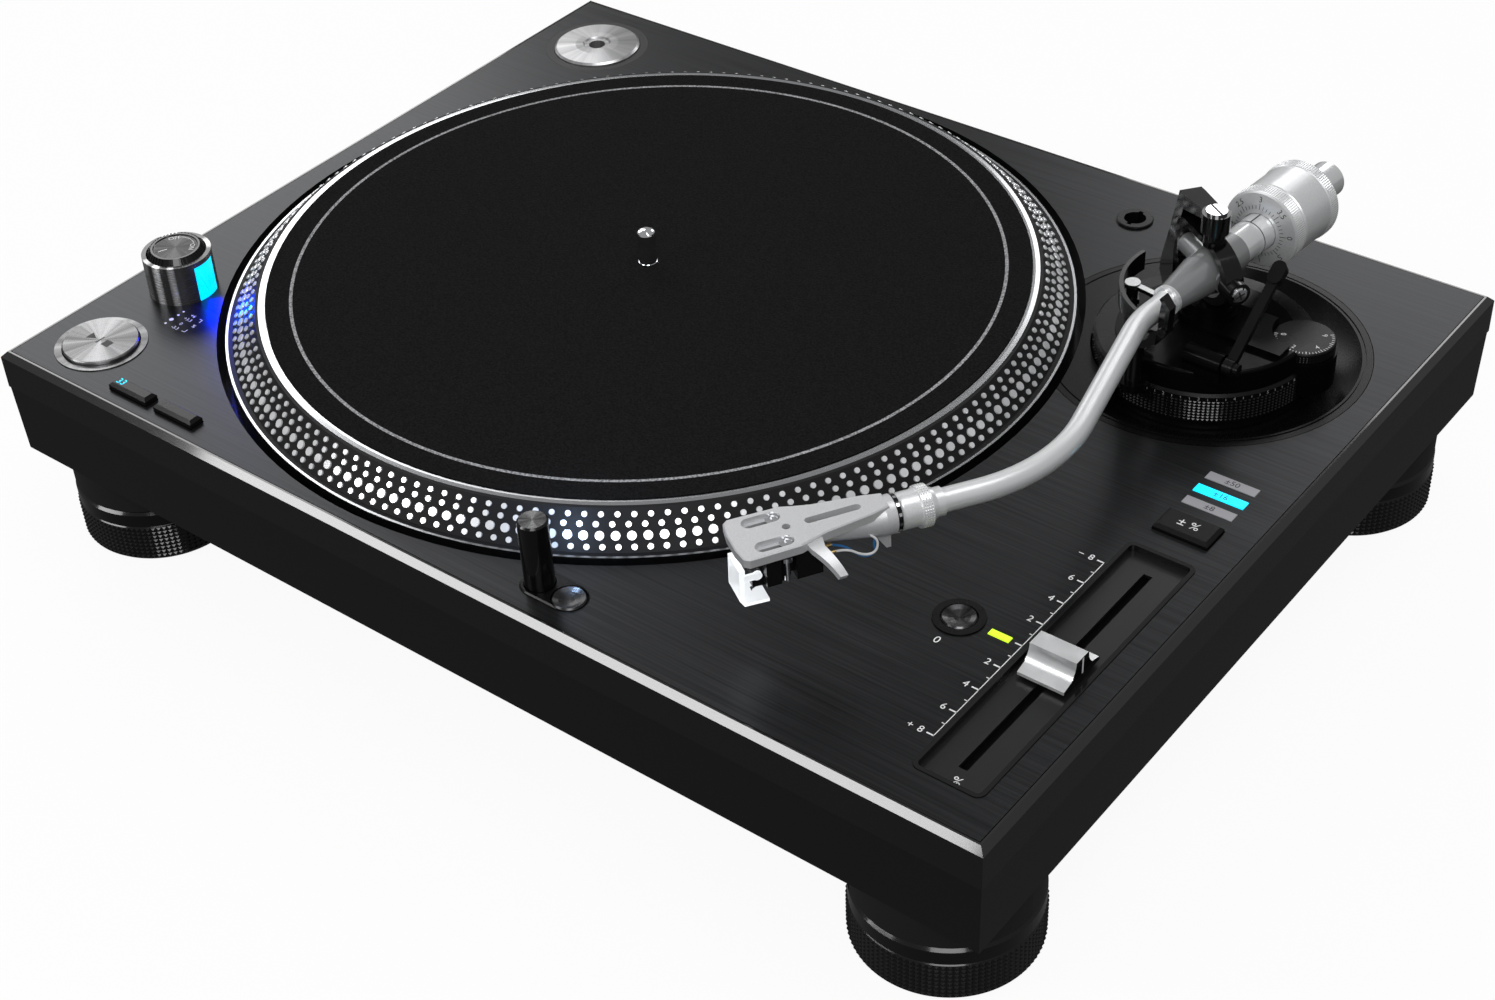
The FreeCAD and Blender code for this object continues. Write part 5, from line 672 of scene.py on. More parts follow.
def dress(finish: Finish, *nodes: str) -> None:
    """Gives fixed nodes their finish."""
    for name in nodes:
        mesh = frame["nodes"][name].data
        mesh.materials.clear()
        mesh.materials.append(finish.material())
    LOG.info("%s on %s", finish.name, ", ".join(nodes))


@dataclass(frozen=True)
class Face:
    """A flat or shallow conical round face that takes print."""

    place: Matrix
    foot: float = 0.0
    lean: float = 0.0

    def spot(self, r: float, angle: float) -> Matrix:
        """A place at a radius and an angle in degrees, with its x axis pointing outwards."""
        edge = self.place @ swing(angle) @ move(self.foot, 0, 0)
        return edge @ swing(self.lean, "Y") @ move(r - self.foot, 0, 0)


@dataclass(frozen=True)
class Mark:
    """A flat printed mark that points outwards: where it starts, and its size."""

    r: float
    length: float
    width: float


def lathe(profile: Sequence[tuple[float, float]], steps: int) -> bmesh.types.BMesh:
    """Spins a closed outline once round the z axis.

    Args:
        profile: the outline's points, as radius and height.
        steps: how many sides the spun shape has.

    Returns:
        The spun shape.
    """
    ring = bmesh.new()
    points = [ring.verts.new((r, 0, z)) for r, z in profile]
    edges = [ring.edges.new(pair) for pair in zip(points, points[1:] + points[:1])]
    bmesh.ops.spin(ring, geom=points + edges, angle=math.tau, steps=steps, use_merge=True,
                   axis=(0, 0, 1), cent=(0, 0, 0))
    return ring


@dataclass
class Mould:
    """One new piece in the making, in millimetres in the turntable's frame."""

    name: str
    body: str
    finish: Finish
    slot: str = ""
    mesh: bmesh.types.BMesh = field(default_factory=bmesh.new)

    def __post_init__(self) -> None:
        """Takes the finish's slot where no other is given."""
        self.slot = self.slot or self.finish.slot

    def disc(self, r: float, place: Matrix, height: float, segments: int,
             r_top: Optional[float] = None) -> None:
        """Adds a disc, stud or cone.

        Args:
            r: radius at the foot.
            place: the middle of its foot, with its axis along z.
            height: its height.
            segments: sides round it.
            r_top: radius at the top, the same as at the foot unless given.
        """
        bmesh.ops.create_cone(self.mesh, cap_ends=True, segments=segments, radius1=r,
                              radius2=r if r_top is None else r_top, depth=height,
                              matrix=place @ move(0, 0, height / 2))

    def block(self, low: Sequence[float], high: Sequence[float],
              place: Optional[Matrix] = None) -> None:
        """Adds a box between two corners.

        Args:
            low: its low corner.
            high: its high corner.
            place: the frame that they are in, the turntable's unless given.
        """
        low, high = Vector(low), Vector(high)
        size = Matrix.Diagonal((*(high - low), 1.0))
        middle = move(*((low + high) / 2))
        bmesh.ops.create_cube(self.mesh, size=1.0, matrix=(place or Matrix.Identity(4)) @ middle @ size)

    def turned(self, profile: Sequence[tuple[float, float]], segments: int, place: Matrix) -> None:
        """Turns a closed outline of (radius, height) round an axis.

        Args:
            profile: the outline's points.
            segments: sides round it.
            place: the axis's frame, with the axis as its z.
        """
        ring = lathe(profile, segments)
        bmesh.ops.remove_doubles(ring, verts=ring.verts, dist=WELD)
        self.join(ring, place)

    def plate(self, outline: Sequence[tuple[float, float]], thick: float, place: Matrix) -> None:
        """Adds a flat plate with a given outline.

        Args:
            outline: its points in its own plane.
            thick: its thickness.
            place: its frame, with the plate standing up along z.
        """
        sheet = bmesh.new()
        face = sheet.faces.new([sheet.verts.new((x, y, 0)) for x, y in outline])
        raised = bmesh.ops.extrude_face_region(sheet, geom=[face])["geom"]
        points = [item for item in raised if isinstance(item, bmesh.types.BMVert)]
        bmesh.ops.translate(sheet, vec=(0, 0, thick), verts=points)
        self.join(sheet, place)

    def marks(self, face: Face, mark: Mark, angles: Iterable[float]) -> None:
        """Adds a printed mark at each angle of a round face."""
        low, high = (0, -mark.width / 2, 0), (mark.length, mark.width / 2, PRINT_T)
        for angle in angles:
            self.block(low, high, face.spot(mark.r, angle))

    def numbers(self, face: Face, r: float, labels: Iterable[tuple[str, float]], size: float,
                inward: bool = False) -> None:
        """Adds numbers round a face, each at its own angle, with their tops outwards or inwards."""
        for text, angle in labels:
            self.words(text, size, face.spot(r, angle) @ swing(90 if inward else -90))

    def lead(self, points: Sequence[Triple], r: float, place: Matrix) -> None:
        """Adds a thin wire along a smooth line.

        Args:
            points: the line's control points.
            r: the wire's radius.
            place: the frame that they are in.
        """
        curve = bpy.data.curves.new("lead", "CURVE")
        curve.dimensions = "3D"
        curve.bevel_depth = r
        curve.bevel_resolution = 2
        curve.use_fill_caps = True
        line = curve.splines.new("NURBS")
        line.points.add(len(points) - 1)
        for point, stop in zip(line.points, points):
            point.co = (*stop, 1.0)
        line.order_u = 3
        line.use_endpoint_u = True
        self.take(curve, place)

    def words(self, text: str, size: float, place: Matrix) -> None:
        """Adds lettering as thin solid strokes.

        Args:
            text: what it says.
            size: the letters' height.
            place: where its middle is, with the strokes standing up along z.
        """
        curve = bpy.data.curves.new("lettering", "FONT")
        curve.body = text
        curve.size = size / CAPITAL_SHARE
        curve.align_x = "CENTER"
        curve.align_y = "CENTER"
        curve.extrude = PRINT_T / 2
        curve.resolution_u = 3
        self.take(curve, place)

    def take(self, curve: bpy.types.Curve, place: Matrix) -> None:
        """Turns a curve into mesh, puts it in its place and takes it in."""
        carrier = bpy.data.objects.new("carrier", curve)
        mesh = bpy.data.meshes.new_from_object(carrier)
        mesh.transform(place)
        self.mesh.from_mesh(mesh)
        bpy.data.objects.remove(carrier)
        bpy.data.meshes.remove(mesh)
        bpy.data.curves.remove(curve)

    def join(self, other: bmesh.types.BMesh, place: Matrix) -> None:
        """Puts another mesh in its place, takes it in and frees it."""
        carrier = bpy.data.meshes.new("carrier")
        bmesh.ops.transform(other, matrix=place, verts=other.verts)
        other.to_mesh(carrier)
        other.free()
        self.mesh.from_mesh(carrier)
        bpy.data.meshes.remove(carrier)

    def deliver(self, smooth: bool = True, outward: bool = True) -> None:
        """Turns the piece into an object that rides on its body.

        Args:
            smooth: whether its shallow edges are shaded smooth.
            outward: whether its faces are turned outwards first.
        """
        bmesh.ops.remove_doubles(self.mesh, verts=self.mesh.verts, dist=WELD)
        if outward:
            bmesh.ops.recalc_face_normals(self.mesh, faces=self.mesh.faces)
        bmesh.ops.scale(self.mesh, vec=Vector((MM, MM, MM)), verts=self.mesh.verts)
        made = bpy.data.meshes.new(self.name)
        self.mesh.to_mesh(made)
        self.mesh.free()
        if smooth:
            made.shade_smooth()
            made.set_sharp_from_angle(angle=SHARP_ANGLE)
        made.materials.append(self.finish.material())
        piece = in_scene(self.name, made)
        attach(piece, self.body)
        LOG.info("%s rides on %s: %d faces", self.name, self.body, len(made.polygons))


@dataclass(frozen=True)
class Knurl:
    """A closed band of small pyramids round an axis: its radius, its ends, how many, how high."""

    r: float
    low: float
    high: float
    columns: int
    rows: int
    tooth: float
    back: float = 0.6

    def deliver(self, name: str, body: str, finish: Finish, place: Matrix, slot: str = "") -> None:
        """Builds the band as a piece.

        Args:
            name: what it is on, for its name.
            body: the body that it rides on.
            finish: its finish.
            place: the axis's frame, with the axis as its z.
            slot: its slot, the finish's unless given.
        """
        inner = self.r - self.back
        heights = [self.low + (self.high - self.low) * step / self.rows for step in range(self.rows + 1)]
        band = lathe([(inner, self.low), *((self.r, z) for z in heights), (inner, self.high)], self.columns)
        bmesh.ops.recalc_face_normals(band, faces=band.faces)
        outside = [f for f in band.faces if all(v.co.xy.length > self.r - self.back / 2 for v in f.verts)]
        bmesh.ops.poke(band, faces=outside, offset=self.tooth)
        mould = Mould("knurl_" + name, body, finish, slot)
        mould.join(band, place)
        mould.deliver(smooth=False, outward=False)


@dataclass(frozen=True)
class DotRow:
    """One ring of raised dots on the rim."""

    count: int
    up_slope: float
    r: float
    phase: float


@dataclass
class Platter:
    """The platter's rim, its dots and the mat."""

    lip_r: float = 163.3
    lip_z: float = 0.4
    top_r: float = 152.9
    top_z: float = 11.8
    dot_h: float = 0.55
    dot_sides: int = 12
    taper: float = 0.93
    sink: float = 0.1
    rows: tuple[DotRow, ...] = (
        DotRow(185, 2.0, 1.15, 0.08),
        DotRow(180, 5.9, 1.75, 1.25),
        DotRow(175, 9.8, 1.15, 0.36),
        DotRow(170, 13.2, 1.1, 0.55),
    )

    def build(self) -> None:
        """Dresses the platter and raises its dots."""
        dress(Look.RIM, "platter")
        dress(Look.MAT, "slipmat")
        dress(Look.CHROME, "spindle")
        self.dots()

    def dots(self) -> None:
        """The four rings of dots, square to the sloping band."""
        mould = Mould("platter_dots", "platter", Look.DOT)
        run, rise = self.lip_r - self.top_r, self.top_z - self.lip_z
        stand = swing(math.degrees(math.atan2(rise, run)), "Y") @ move(0, 0, -self.sink)
        for row in self.rows:
            share = row.up_slope / math.hypot(run, rise)
            foot = move(self.lip_r - run * share, 0, DECK + self.lip_z + rise * share) @ stand
            for step in range(row.count):
                spin = upright(*PLATTER_AT, 0, 360 * step / row.count + row.phase)
                mould.disc(row.r, spin @ foot, self.dot_h + self.sink, self.dot_sides, row.r * self.taper)
        mould.deliver()


@dataclass
class Cabinet:
    """The case, its plate, its floor and what is inside, and the four knurled feet."""

    foot_knurl: Knurl = Knurl(32.55, 1.5, 16.6, 96, 8, 0.75)

    def build(self) -> None:
        """Dresses the case and knurls its feet."""
        dress(Look.DECK, "top_plate")
        dress(Look.CASE, "upper_chassis")
        dress(Look.LOWER_CASE, "base_case")
        dress(Look.SOFT, "bottom_cover", "adapter_cup")
        dress(Look.RUBBER, "foot_collars")
        dress(Look.PLAIN_STEEL, "case_screws", "power_supply", "bearing_housing", "rotor_magnet")
        dress(Look.BOARD, "control_board", "motor_stator")
        for spot in ("front_left", "front_right", "back_left", "back_right"):
            node = "foot_" + spot
            dress(Look.FOOT, node)
            self.foot_knurl.deliver(node, node, Look.FOOT, upright(*plan(node), 0), "foot_black")


@dataclass
class Tower:
    """The strobe tower, its window and the power knob in its top."""

    ridges: int = 44
    ridge_w: float = 0.75
    ridge_in: float = 0.3
    ridge_out: float = 0.35
    ridge_gaps: tuple[float, float] = (0.2, 0.1)
    ridge_foot: tuple[float, float] = (11.6, 16.2)
    ridge_top: tuple[float, float] = (9.7, 19.2)
    face_r: float = 8.3
    face_z: float = 18.8
    signs: tuple[tuple[str, float], ...] = (("OFF", 140), ("ON", 36))
    sign_r: float = 6.6
    sign_h: float = 2.1
    arc: Mark = Mark(7.2, 0.35, 0.32)
    arc_at: Iterable[float] = range(58, 118, 2)
    pointer: Mark = Mark(3.4, 3.6, 0.5)
    pointer_at: float = -115
    dots: tuple[tuple[float, float, str], ...] = ((-116.4, 0.45, "+6"), (-119.2, 0.55, "+3.3"),
                                                   (-122.8, 0.95, "0"), (-125.9, 0.5, "-3.3"))
    dot_x: float = -187.3
    note_x: float = -181.8
    note_h: float = 1.7
    percent_h: float = 1.8
    bracket_x: float = -176.3
    bracket_arm: float = 1.6
    bracket_leg: float = 1.8
    stroke: float = 0.24

    def build(self) -> None:
        """Dresses the tower and adds its knob's face and its legend."""
        dress(Look.STEEL, "strobe_tower")
        dress(Look.ARM_BLACK, "power_knob")
        dress(Look.WINDOW, "strobe_window")
        self.knob()
        self.legend()

    def knob(self) -> None:
        """The knob's ridges, its turned face and what is printed on it."""
        at = upright(*plan("power_knob"), DECK)
        run, rise = self.ridge_foot[0] - self.ridge_top[0], self.ridge_top[1] - self.ridge_foot[1]
        tilt = -math.degrees(math.atan2(run, rise))
        lean = move(self.ridge_foot[0], 0, self.ridge_foot[1]) @ swing(tilt, "Y")
        start, stop = self.ridge_gaps
        ridges = Mould("knob_ridges", "power_knob", Look.ARM_BLACK)
        for step in range(self.ridges):
            ridges.block((-self.ridge_in, -self.ridge_w / 2, start),
                         (self.ridge_out, self.ridge_w / 2, math.hypot(run, rise) - stop),
                         at @ swing(360 * step / self.ridges) @ lean)
        ridges.deliver(smooth=False)
        face = Mould("knob_face", "power_knob", Look.KNOB)
        face.disc(self.face_r, at @ move(0, 0, self.face_z), PRINT_T, 48)
        face.deliver()
        legend = Mould("knob_legend", "power_knob", Look.PRINT)
        top = Face(at @ move(0, 0, self.face_z + PRINT_T))
        legend.numbers(top, self.sign_r, self.signs, self.sign_h)
        legend.marks(top, self.arc, self.arc_at)
        legend.marks(top, self.pointer, (self.pointer_at,))
        legend.deliver(smooth=False)

    def legend(self) -> None:
        """The deck's key to the four rows of dots."""
        legend = Mould("strobe_legend", "root", Look.PRINT)
        for y, r, note in self.dots:
            legend.disc(r, move(self.dot_x, y, DECK), PRINT_T, 20)
            legend.words(note, self.note_h, upright(self.note_x, y, DECK))
        low, high = self.dots[-1][0], self.dots[0][0]
        x, half = self.bracket_x, self.stroke / 2
        for y in (low, high):
            legend.block((x - self.bracket_arm, y - half, DECK), (x, y + half, DECK + PRINT_T))
        for y in (low, high - self.bracket_leg):
            legend.block((x - self.stroke, y, DECK), (x, y + self.bracket_leg, DECK + PRINT_T))
        legend.words("%", self.percent_h, upright(x, (low + high) / 2, DECK))
        legend.deliver(smooth=False)


@dataclass
class Buttons:
    """The start button, the speed keys, the reset button and the pop-up light."""

    start_z: float = 2.0
    triangle: tuple[tuple[float, float], ...] = ((-6.2, -2.0), (-2.4, 0.0), (-6.2, 2.0))
    square: tuple[tuple[float, float], ...] = ((2.2, -1.8), (5.8, -1.8), (5.8, 1.8), (2.2, 1.8))
    bar: tuple[float, float] = (0.5, 2.2)
    key_z: float = 3.0
    key_note_h: float = 3.1
    key_note_at: tuple[float, float] = (-6.2, 0.2)
    cap_r: float = 4.75
    light_z: float = 28.0
    lens_r: float = 1.9
    lens_y: float = 4.35
    lens_down: float = 4.0

    def build(self) -> None:
        """Dresses the buttons and prints what they carry."""
        dress(Look.START, "start_button", "start_bezel")
        dress(Look.ADAPTER, "adapter_45")
        dress(Look.KEY, "speed_key_33", "speed_key_45")
        dress(Look.RESET, "reset_button")
        dress(Look.PUSH, "light_button")
        dress(Look.SATIN_BLACK, "light_bezel", "reset_ring")
        dress(Look.ARM_BLACK, "stylus_light")
        self.start_sign()
        self.key_note("33", Look.LIT)
        self.key_note("45", Look.DIM_PRINT)
        self.light()

    def start_sign(self) -> None:
        """A triangle, a bar and a square on the start and stop button."""
        sign = Mould("start_sign", "start_button", Look.INK)
        place = upright(*plan("start_button"), DECK + self.start_z)
        width, reach = self.bar
        sign.plate(self.triangle, PRINT_T, place)
        sign.block((-width, -reach, 0), (0.0, reach, PRINT_T), place)
        sign.plate(self.square, PRINT_T, place)
        sign.deliver(smooth=False)

    def key_note(self, speed: str, finish: Finish) -> None:
        """Prints a speed on the left end of its key."""
        node = "speed_key_" + speed
        note = Mould(node + "_number", node, finish)
        at = upright(*plan(node), DECK + self.key_z) @ move(*self.key_note_at, 0)
        note.words(speed, self.key_note_h, at)
        note.deliver(smooth=False)

    def light(self) -> None:
        """The column's turned cap and its lens."""
        top = upright(*plan("stylus_light"), DECK + self.light_z)
        cap = Mould("light_cap", "stylus_light", Look.COLUMN_CAP)
        cap.disc(self.cap_r, top, PRINT_T, 40)
        cap.deliver()
        lens = Mould("light_lens", "stylus_light", Look.LENS)
        lens.disc(self.lens_r, top @ move(0, self.lens_y, -self.lens_down) @ swing(-90, "X"), 0.4, 24)
        lens.deliver()


@dataclass
class Tempo:
    """The tempo fader, its scale, the lamps and the range key."""

    zero_y: float = -93.6
    line_x: float = 187.2
    step_y: float = 6.31
    percents: int = 8
    major: float = 2.8
    minor: float = 1.4
    stroke: float = 0.42
    major_share: float = 1.35
    minor_share: float = 0.8
    note_x: float = 182.1
    note_h: float = 2.9
    sign_x: float = 178.2
    words: tuple[tuple[str, float, Triple], ...] = (("0", 3.3, (163.0, -106.8, 0.0)),
                                                    ("%", 3.6, (202.6, -154.6, -2.3)))
    bar_notes: tuple[tuple[str, float], ...] = (("\u00b150", 18.3), ("\u00b116", 10.0), ("\u00b18", 2.1))
    bar_x: float = 201.4
    bar_note_h: float = 2.6
    range_note_h: float = 3.8
    knob_half_w: float = 8.7
    knob_y: float = -94.5
    cap_t: float = 0.25
    side: tuple[tuple[float, float], ...] = ((10.5, -0.9), (10.5, 0.3))
    hollow: tuple[tuple[float, float], ...] = ((6.4, 1.4), (4.28, 4.15), (3.5, 7.5))
    hollow_steps: int = 8
    knob_line: tuple[float, float, float] = (0.4, 1.2, 7.45)

    def build(self) -> None:
        """Dresses the fader and prints its scale."""
        dress(Look.TRAY, "fader_tray")
        dress(Look.FADER, "fader_knob")
        dress(Look.KEY, "range_button")
        dress(Look.LAMPS, "panel_lamps")
        self.scale()
        self.notes()
        self.knob_ends()

    def scale(self) -> None:
        """The scale's line, its marks and its numbers."""
        scale = Mould("tempo_scale", "root", Look.PRINT)
        half = self.stroke / 2
        reach = self.percents * self.step_y
        scale.block((self.line_x - self.stroke * 0.7, self.zero_y - reach - half, DECK),
                    (self.line_x, self.zero_y + reach + half, DECK + PRINT_T))
        for percent in range(-self.percents, self.percents + 1):
            y = self.zero_y + percent * self.step_y
            even = percent % 2 == 0
            wide = half * (self.major_share if even else self.minor_share)
            scale.block((self.line_x - (self.major if even else self.minor), y - wide, DECK),
                        (self.line_x, y + wide, DECK + PRINT_T))
            if even and percent:
                scale.words(str(abs(percent)), self.note_h, upright(self.note_x, y + 0.1, DECK))
        for text, sign in (("\u2212", 1), ("+", -1)):
            scale.words(text, self.note_h, upright(self.sign_x, self.zero_y + sign * reach, DECK))
        for text, size, at in self.words:
            scale.words(text, size, move(0, 0, DECK) @ move(*at))
        scale.deliver(smooth=False)

    def notes(self) -> None:
        """What is printed on the range lamps and the range key."""
        notes = Mould("lamp_notes", "root", Look.INK)
        for text, y in self.bar_notes:
            notes.words(text, self.bar_note_h, upright(self.bar_x, y, corner("panel_lamps", 1).z))
        notes.deliver(smooth=False)
        key = Mould("range_note", "range_button", Look.PRINT)
        at = upright(*plan("range_button"), corner("range_button", 1).z)
        key.words("\u00b1 %", self.range_note_h, at)
        key.deliver(smooth=False)

    def knob_ends(self) -> None:
        """The knob's black ends and the white line down one of them."""
        first, second, third = (Vector(point) for point in self.hollow)
        half = list(self.side)
        for step in range(self.hollow_steps + 1):
            t = step / self.hollow_steps
            half.append(tuple(first * (1 - t) * (1 - 2 * t) + second * 4 * t * (1 - t)
                              + third * t * (2 * t - 1)))
        outline = half + [(-y, z) for y, z in reversed(half)]
        ends = Mould("fader_ends", "fader_knob", Look.ARM_BLACK)
        for x in (-self.knob_half_w - self.cap_t, self.knob_half_w):
            ends.plate(outline, self.cap_t, self.end_place(x))
        ends.deliver(smooth=False)
        line = Mould("fader_line", "fader_knob", Look.PRINT)
        width, low, high = self.knob_line
        line.block((-width, low, self.cap_t), (width, high, self.cap_t + PRINT_T),
                   self.end_place(self.knob_half_w))
        line.deliver(smooth=False)

    def end_place(self, x: float) -> Matrix:
        """A frame on the knob's side, with its plane's axes along the turntable's y and z."""
        return move(plan("fader_knob")[0] + x, self.knob_y, DECK) @ OUTWARD


@dataclass
class Weight:
    """The counterweight, its dial and the shaft behind the arm."""

    knurls: tuple[tuple[str, Knurl], ...] = (
        ("weight_dial", Knurl(15.35, 33.5, 38.5, 112, 6, 0.4)),
        ("counterweight", Knurl(15.55, 56.7, 60.9, 112, 5, 0.4)),
    )
    face_s: float = 31.2
    face_foot: float = 8.5
    face_lean: float = 13.6
    top_angle: float = 185.0
    grams: tuple[str, ...] = ("0", ".5", "1", "1.5", "2", "2.5", "3", "3.5")
    top_gram: int = 6
    number_r: float = 12.6
    number_h: float = 2.2
    long_mark: Mark = Mark(8.9, 2.3, 0.22)
    short_mark: Mark = Mark(8.9, 1.4, 0.18)
    marks_each: int = 5
    index_ring: tuple[tuple[float, float], ...] = ((7.05, 24.2), (7.16, 24.2), (7.16, 24.6), (7.05, 24.6))
    index_line: tuple[Triple, Triple] = ((7.0, -0.25, 24.6), (7.16, 0.25, 31.0))

    def build(self) -> None:
        """Dresses the weight, knurls it and numbers its dial."""
        dress(Look.SATIN, "counterweight", "weight_dial")
        behind = lying(ARM, back=True)
        for name, knurl in self.knurls:
            knurl.deliver(name, name, Look.KNURL, behind)
        self.numbers()
        index = Mould("weight_index", "arm", Look.INK)
        index.block(*self.index_line, behind)
        index.turned(self.index_ring, 48, behind)
        index.deliver(smooth=False)

    def numbers(self) -> None:
        """The dial's marks and numbers."""
        dial = Mould("weight_numbers", "weight_dial", Look.INK)
        face = Face(lying(ARM, -self.face_s), self.face_foot, self.face_lean)
        step = 360 / len(self.grams)
        spots = [self.top_angle - step * (place - self.top_gram) for place in range(len(self.grams))]
        dial.numbers(face, self.number_r, zip(self.grams, spots), self.number_h)
        dial.marks(face, self.long_mark, spots)
        small = [spot - step * part / self.marks_each for spot in spots for part in range(1, self.marks_each)]
        dial.marks(face, self.short_mark, small)
        dial.deliver(smooth=False)


@dataclass
class Head:
    """The headshell, the pickup, its leads and the locking collar."""

    collar_knurl: Knurl = Knurl(6.95, 45.9, 49.3, 46, 4, 0.38)
    washer: tuple[float, float] = (56.5, 58.0)
    washer_r: float = 6.42
    washer_t: float = 0.3
    contacts: int = 12
    contact_sink: float = 0.2
    contact_rise: float = 0.12
    contact_half_w: float = 0.55
    contact_inset: float = 0.25
    lead_r: float = 0.42
    leads: tuple[tuple[str, Finish, tuple[Triple, ...]], ...] = (
        ("white", Look.WHITE, ((80.5, 5.4, -5.6), (76, 5.5, -5.7), (71, 6.4, -9.6), (66.6, 7.0, -9.4),
                               (65.4, 6.2, -5.0), (68.6, 5.0, -2.6), (66.5, 3.4, -0.6), (63.2, 3.0, -0.8))),
        ("blue", Look.BLUE, ((80.5, 1.8, -5.6), (76, 2.2, -6.4), (70.5, 4.4, -12.2), (65.8, 5.2, -11.2),
                             (66.6, 4.2, -6.6), (64.0, 2.4, -2.2))),
        ("green", Look.GREEN, ((80.5, -1.8, -5.6), (75, -2.2, -6.2), (70, -3.6, -9.0), (66.5, -3.4, -6.0),
                               (64, -2.2, -2.0))),
        ("red", Look.RED, ((80.5, -5.4, -5.6), (75, -5.6, -6.0), (70, -6.0, -8.4), (66.5, -4.8, -5.0),
                           (63.6, -3.0, -1.2))),
    )

    def build(self) -> None:
        """Dresses the head, knurls its collar and adds its leads."""
        dress(Look.SHELL, "headshell")
        dress(Look.SATIN, "locking_collar")
        dress(Look.CHROME, "cartridge_screws")
        dress(Look.PICKUP, "cartridge")
        dress(Look.CLEAR, "stylus_guard")
        self.collar_knurl.deliver("collar", "locking_collar", Look.KNURL, lying(HEAD))
        self.contact_ring()
        for name, finish, points in self.leads:
            lead = Mould("pickup_lead_" + name, "headshell", finish)
            lead.lead(points, self.lead_r, SHELL)
            lead.deliver()

    def contact_ring(self) -> None:
        """The black washer between shell and collar, with its bright contacts."""
        low, high = self.washer
        outer, inner = self.washer_r, self.washer_r - self.washer_t
        axis = lying(HEAD)
        ring = Mould("contact_ring", "headshell", Look.ARM_BLACK)
        ring.turned(((inner, low), (outer, low), (outer, high), (inner, high)), 48, axis)
        ring.deliver()
        pins = Mould("contact_pins", "headshell", Look.CHROME)
        for step in range(self.contacts):
            pins.block((outer - self.contact_sink, -self.contact_half_w, low + self.contact_inset),
                       (outer + self.contact_rise, self.contact_half_w, high - self.contact_inset),
                       axis @ swing(360 * step / self.contacts))
        pins.deliver(smooth=False)


@dataclass
class Tonearm:
    """The arm's tube, its bearings and its rest."""

    screw_s: float = 20.3
    screw_head: tuple[tuple[float, float], ...] = ((0, -0.3), (3.1, -0.3), (3.1, 0.35), (2.5, 0.8), (0, 0.8))
    cross: tuple[Triple, Triple] = ((-1.9, -0.32, 0.7), (1.9, 0.32, 0.86))
    cross_turns: tuple[float, ...] = (20, 110)
    groove: tuple[Triple, Triple] = ((-3.8, -0.4, -0.55), (3.8, 0.4, -0.5))

    def build(self) -> None:
        """Dresses the arm and adds its bearing screws."""
        dress(Look.TUBE, "arm_tube")
        dress(Look.GIMBAL, "gimbal_ring")
        dress(Look.ARM_BLACK, "arm_yoke", "arm_rest", "rest_clamp")
        dress(Look.CHROME, "pivot_cap")
        self.side_screw()
        self.top_screw()

    def side_screw(self) -> None:
        """The bright cross-headed screw in the bearing's side."""
        axis = lying(GIMBAL, self.screw_s)
        head = Mould("bearing_screw", "gimbal", Look.CHROME)
        head.turned(self.screw_head, 36, axis)
        head.deliver()
        cross = Mould("bearing_screw_cross", "gimbal", Look.INK)
        for turn in self.cross_turns:
            cross.block(*self.cross, axis @ swing(turn))
        cross.deliver(smooth=False)

    def top_screw(self) -> None:
        """The dark slot of the screw on top of the bearing."""
        slot = Mould("pivot_slot", "arm_base", Look.INK)
        slot.block(*self.groove, upright(PIVOT.x, PIVOT.y, corner("pivot_cap", 1).z, GIMBAL_TURN))
        slot.deliver(smooth=False)


